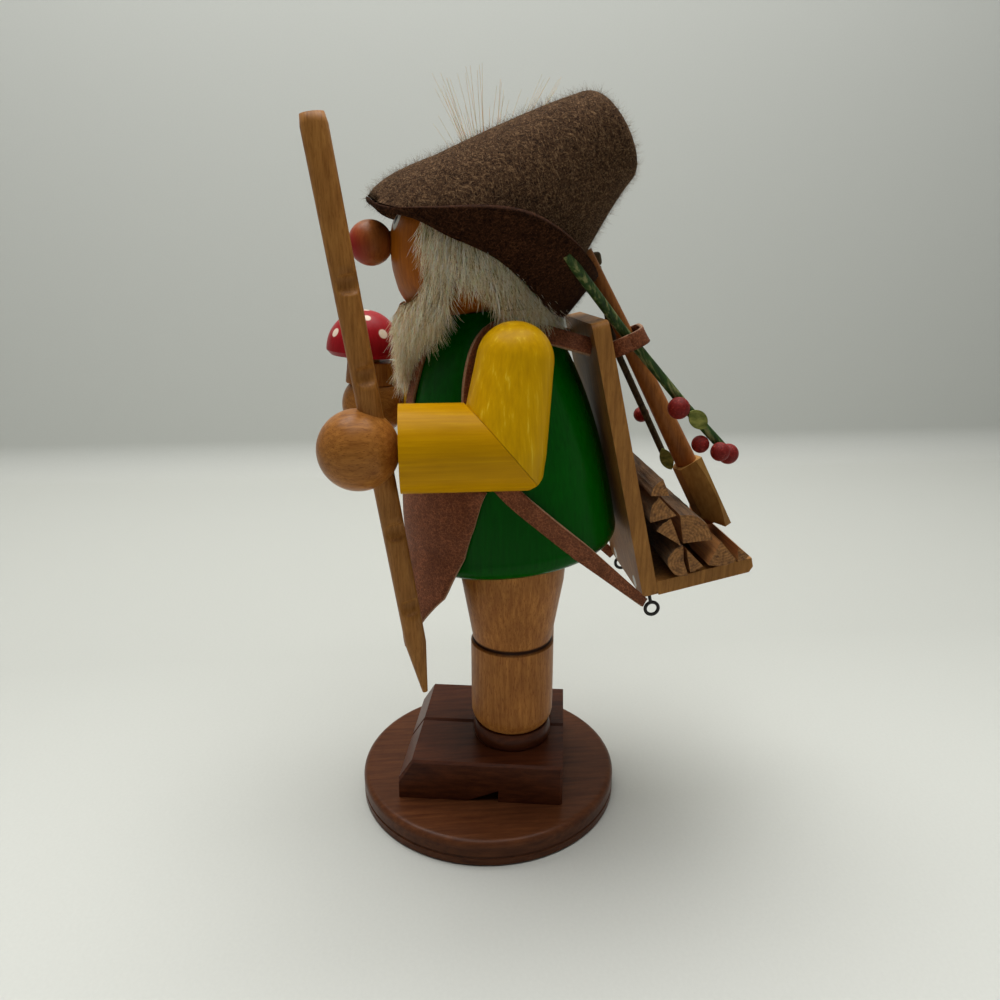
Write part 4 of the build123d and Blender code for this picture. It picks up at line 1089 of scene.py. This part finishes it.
# The hides get a darker copy of the fur: painted shade at the roots, so that the strands stand out against
# it.
fur_root_painted_shade = fur_finish("fur_root_painted_shade", (0.34, 112, 88, 54), (0.5, 148, 124, 86), (0.66, 178, 156, 116))
hide_inset, voxel = 1.4, 0.8
neck_z, chest_y = 166.0, -24.0
fold_tilt, fold_z0, fold_y0 = radians(31.1), 182.5, 7.3
band_radius, band_y, band_slope, band_top, band_step = 24.3, -4.5, 0.12, 3.0, 1.4
band_rows, band_steps = 7, 95


def hide_of(node, name):
    copy = placed(name, nodes[node].data.copy())
    welded(copy.data, 1e-5)
    even = copy.modifiers.new("even", "REMESH")
    even.mode = "VOXEL"
    even.voxel_size = voxel * MM
    finished(copy)
    normals = [vertex.normal.copy() for vertex in copy.data.vertices]
    for vertex, normal in zip(copy.data.vertices, normals):
        vertex.co -= normal * hide_inset * MM
    copy.data.materials.clear()
    copy.data.materials.append(fur_root_painted_shade)
    return copy


def fur_band():
    points = []
    for a in np.radians(np.linspace(62, 298, band_steps)):
        from_back = abs(180 - math.degrees(a))
        lift = np.interp(from_back, 180 - brim_table[::-1, 0], brim_table[::-1, 1])
        x, y = band_radius * sin(a), band_y - band_radius * cos(a)
        fold_z = fold_z0 - (y + fold_y0) * math.tan(fold_tilt) + lift / cos(fold_tilt)
        for row in range(band_rows):
            points.append((x, y - band_slope * (fold_z - neck_z), fold_z + band_top - band_step * row))
    faces = [
        (a, a + band_rows, a + band_rows + 1, a + 1)
        for k in range(band_steps - 1)
        for a in range(k * band_rows, (k + 1) * band_rows - 1)
    ]
    return solid_piece("fur_band_hide", points, faces, [fur_root_painted_shade])


beard_hide = hide_of("beard", "fur_beard_hide")
for vertex in beard_hide.data.vertices:
    x, y, z = vertex.co / MM
    drawn = 0.6 + 0.5 * math.exp(-((x / 8.0) ** 2))
    y = max(y, chest_y + 0.45 * (y - chest_y))
    vertex.co = Vector((x, y, z if z > neck_z else neck_z + drawn * (z - neck_z))) * MM
hair_hide = hide_of("back_hair", "fur_back_hair_hide")
band_hide = fur_band()
for hide in (beard_hide, hair_hide, band_hide):
    tell(hide)

# %% [markdown]
# ## Fur
# The hairs lean out a little and fall: almost straight down on the beard, forward at the front of the head
# and backward behind. Two short functions say this without combing. Density is hairs per square metre.

# %% Fur strands
fur_tree = strand_tree("fur_strands", fur, 4)
hair_out, wisp_size = 0.3, 2.8


def beard_flow(p, n):
    return hair_out * n + vec(0.0, -0.06, -1.0)


def hair_flow(p, n):
    parted = float(np.interp(p[1], (-18.0, -6.0, 10.0), (-0.2, 0.12, 0.16)))
    return hair_out * n + vec(0.0, parted, -1.0)


for hide, name, flow, long, dense in (
    (beard_hide, "fur_beard", beard_flow, 8.5, 2.8e6),
    (hair_hide, "fur_back_hair", hair_flow, 8.0, 2.0e6),
    (band_hide, "fur_band", hair_flow, 9.0, 4.0e6),
):
    strands = grow(
        name, hide, fur_tree, flow, wisp_size,
        Density=dense, Length=long * MM, Thickness=0.1 * MM, Bend=0.15, Spread=0.24, Seed=7,
    )
    for piece in (hide, strands):
        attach(piece, "upper_figure")
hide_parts("beard")
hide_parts("back_hair")

# %% [markdown]
# ## Bristle tuft
# A sparse tuft of stiff bristles stands behind the brim on the far side. They are so few that each is
# placed by itself: a thin three-sided stick from a small root to one of six tips, with its own stray and
# sway.

# %% Tuft
bristle = fur_finish("pale_bristle", (0.3, 196, 174, 122), (0.7, 240, 228, 192))
root_x, root_y, root_low, root_top, root_sides = -26.7, 3.0, 187.0, 193.0, 6
root_points = [
    vec(root_x + 0.5 * cos(a), root_y + 1.2 * sin(a), z)
    for z in (root_low, root_top)
    for a in np.arange(root_sides) * pi / 3
]
root_faces = ring_faces(2, root_sides) + [(5, 4, 3, 2, 1, 0), (6, 7, 8, 9, 10, 11)]
root = solid_piece("tuft_root", root_points, root_faces, [bristle])
chance = np.random.default_rng(5)
tips = ((-12.6, 233.9), (-8.0, 236.4), (-0.7, 237.1), (6.0, 234.0), (16.4, 234.7), (21.7, 233.7))
tip_x, start_z, bristles, bristle_rings, bristle_thick = -22.0, 192.0, 48, 6, 0.15
three_sides = (0.0, 2.094, 4.189)
points, faces = [], []
for k in range(bristles):
    tip_y, tip_z = tips[k % len(tips)]
    stray = chance.random(3) - 0.5
    tip = vec(tip_x, tip_y, tip_z) + stray * vec(3.0, 8.0, 0.0)
    tip[2] -= 14.0 * chance.random() ** 2
    start_x = root_x + 0.5 * (chance.random() - 0.5)
    start = vec(start_x, root_y + 1.6 * (chance.random() - 0.5), start_z)
    sway = vec(0.6, 0.9, 0.0) * (chance.random(3) - 0.5) * 3.0
    faces += ring_faces(bristle_rings, len(three_sides), len(points))
    for s in np.arange(bristle_rings) / (bristle_rings - 1):
        middle = start + (tip - start) * vec(s, s**1.25, s) + sway * s * (1 - s) * 2
        thick_now = bristle_thick * (1 - 0.7 * s)
        points += [middle + thick_now * vec(cos(a), sin(a), 0.0) for a in three_sides]
tuft = solid_piece("bristle_tuft", points, faces, [bristle])
for piece in (root, tuft):
    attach(piece, "upper_figure")
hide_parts("hat_tuft")
tell(tuft)

# %% [markdown]
# ## Stage
# A pale floor bends up into a slightly greyer wall, as in a light tent, because a flat floor would end in a
# hard line. The sheet is one paper: its paler floor near the camera and its grey wall are painted light and
# shade.

# %% Stage
bend, wall_x, wall_top, half_width = 30.0, -450.0, 1300.0, 1600.0
sweep = [(900.0, 0.0), (300.0, 0.0), (0.0, 0.0), (-200.0, 0.0)]
for angle in np.radians(np.linspace(0, 90, 13)):
    sweep.append((wall_x + bend - bend * sin(angle), bend - bend * cos(angle)))
sweep += [(wall_x, 500.0), (wall_x, wall_top)]
points = [(x, y, z) for x, z in sweep for y in (-half_width, half_width)]
paper, tree, body = shader("pale_paper", 0.9, shine=0.2)
pulp = ramp(tree, specks(tree, 900.0, 3.0), (0.3, 0.97), (0.7, 1.0))
place = put(tree, "ShaderNodeTexCoord")["Object"]
place = put(tree, "ShaderNodeSeparateXYZ", Vector=place)
# The floor is paler towards the camera, painted light, and the wall takes a set grey, painted shading.
painted_light_near_camera = between(tree, place["X"], -0.1, 0.25)
painted_shading_up_wall = between(tree, place["Z"], 0.0, bend * MM)
sheet_tone = mixed(tree, painted_light_near_camera, tone(182, 183, 176), tone(216, 217, 210))
sheet_tone = mixed(tree, painted_shading_up_wall, sheet_tone, tone(198, 200, 194))
shaded(tree, body, sheet_tone, pulp)
floor = solid_piece("pale_floor", points, grid_faces(len(sweep), 2), [paper])
floor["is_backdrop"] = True
print("stage set")

# %% [markdown]
# ## Light
# Two broad panels above, one of them behind the figure, and a weak sky give soft shading, with the darker
# side towards the camera; a single lamp would cast a hard shadow. Past the stage, camera and reflections
# see a pale backdrop that lights nothing else.

# %% Light
world = bpy.data.worlds.new("light_tent")
world.use_nodes = True
tree = world.node_tree
sky = tree.nodes["Background"]
sky.inputs["Color"].default_value = (0.98, 1.0, 1.0, 1.0)
sky.inputs["Strength"].default_value = 0.1
backdrop = put(tree, "ShaderNodeBackground", Color=tone(184, 186, 180), Strength=1.0)
ray = put(tree, "ShaderNodeLightPath")
seen = maths(tree, "MAXIMUM", ray["Is Camera Ray"], ray["Is Glossy Ray"])
seen = maths(tree, "MAXIMUM", seen, ray["Is Transmission Ray"])
shown = put(tree, "ShaderNodeMixShader", i0=seen, i1=sky.outputs[0], i2=backdrop[0])
tree.links.new(shown[0], tree.nodes["World Output"].inputs["Surface"])
scene.world = world


def lamp(name, place, target, size, power):
    light = bpy.data.lights.new(name, "AREA")
    light.shape = "RECTANGLE"
    light.size, light.size_y = size
    light.energy = power
    holder = placed(name, light)
    holder.location = place
    holder.rotation_euler = (Vector(target) - Vector(place)).to_track_quat("-Z", "Y").to_euler()


lamp("top_panel", (-0.02, -0.04, 1.0), (0.03, -0.02, 0.0), (0.9, 0.9), 11.0)
lamp("back_panel", (-0.3, -0.04, 0.95), (-0.3, -0.04, 0.0), (0.4, 1.2), 5.0)
scene.view_settings.view_transform = "Standard"
print("lamps set")

# %% [markdown]
# ## Sizes
# The CAD box and the dressed figure's box are printed side by side, so that a wrong size shows.

# %% Sizes
visual_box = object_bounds()
for label, box in (("CAD", cad_box), ("visual", visual_box)):
    print(label, "box", [[round(v, 4) for v in c] for c in box])
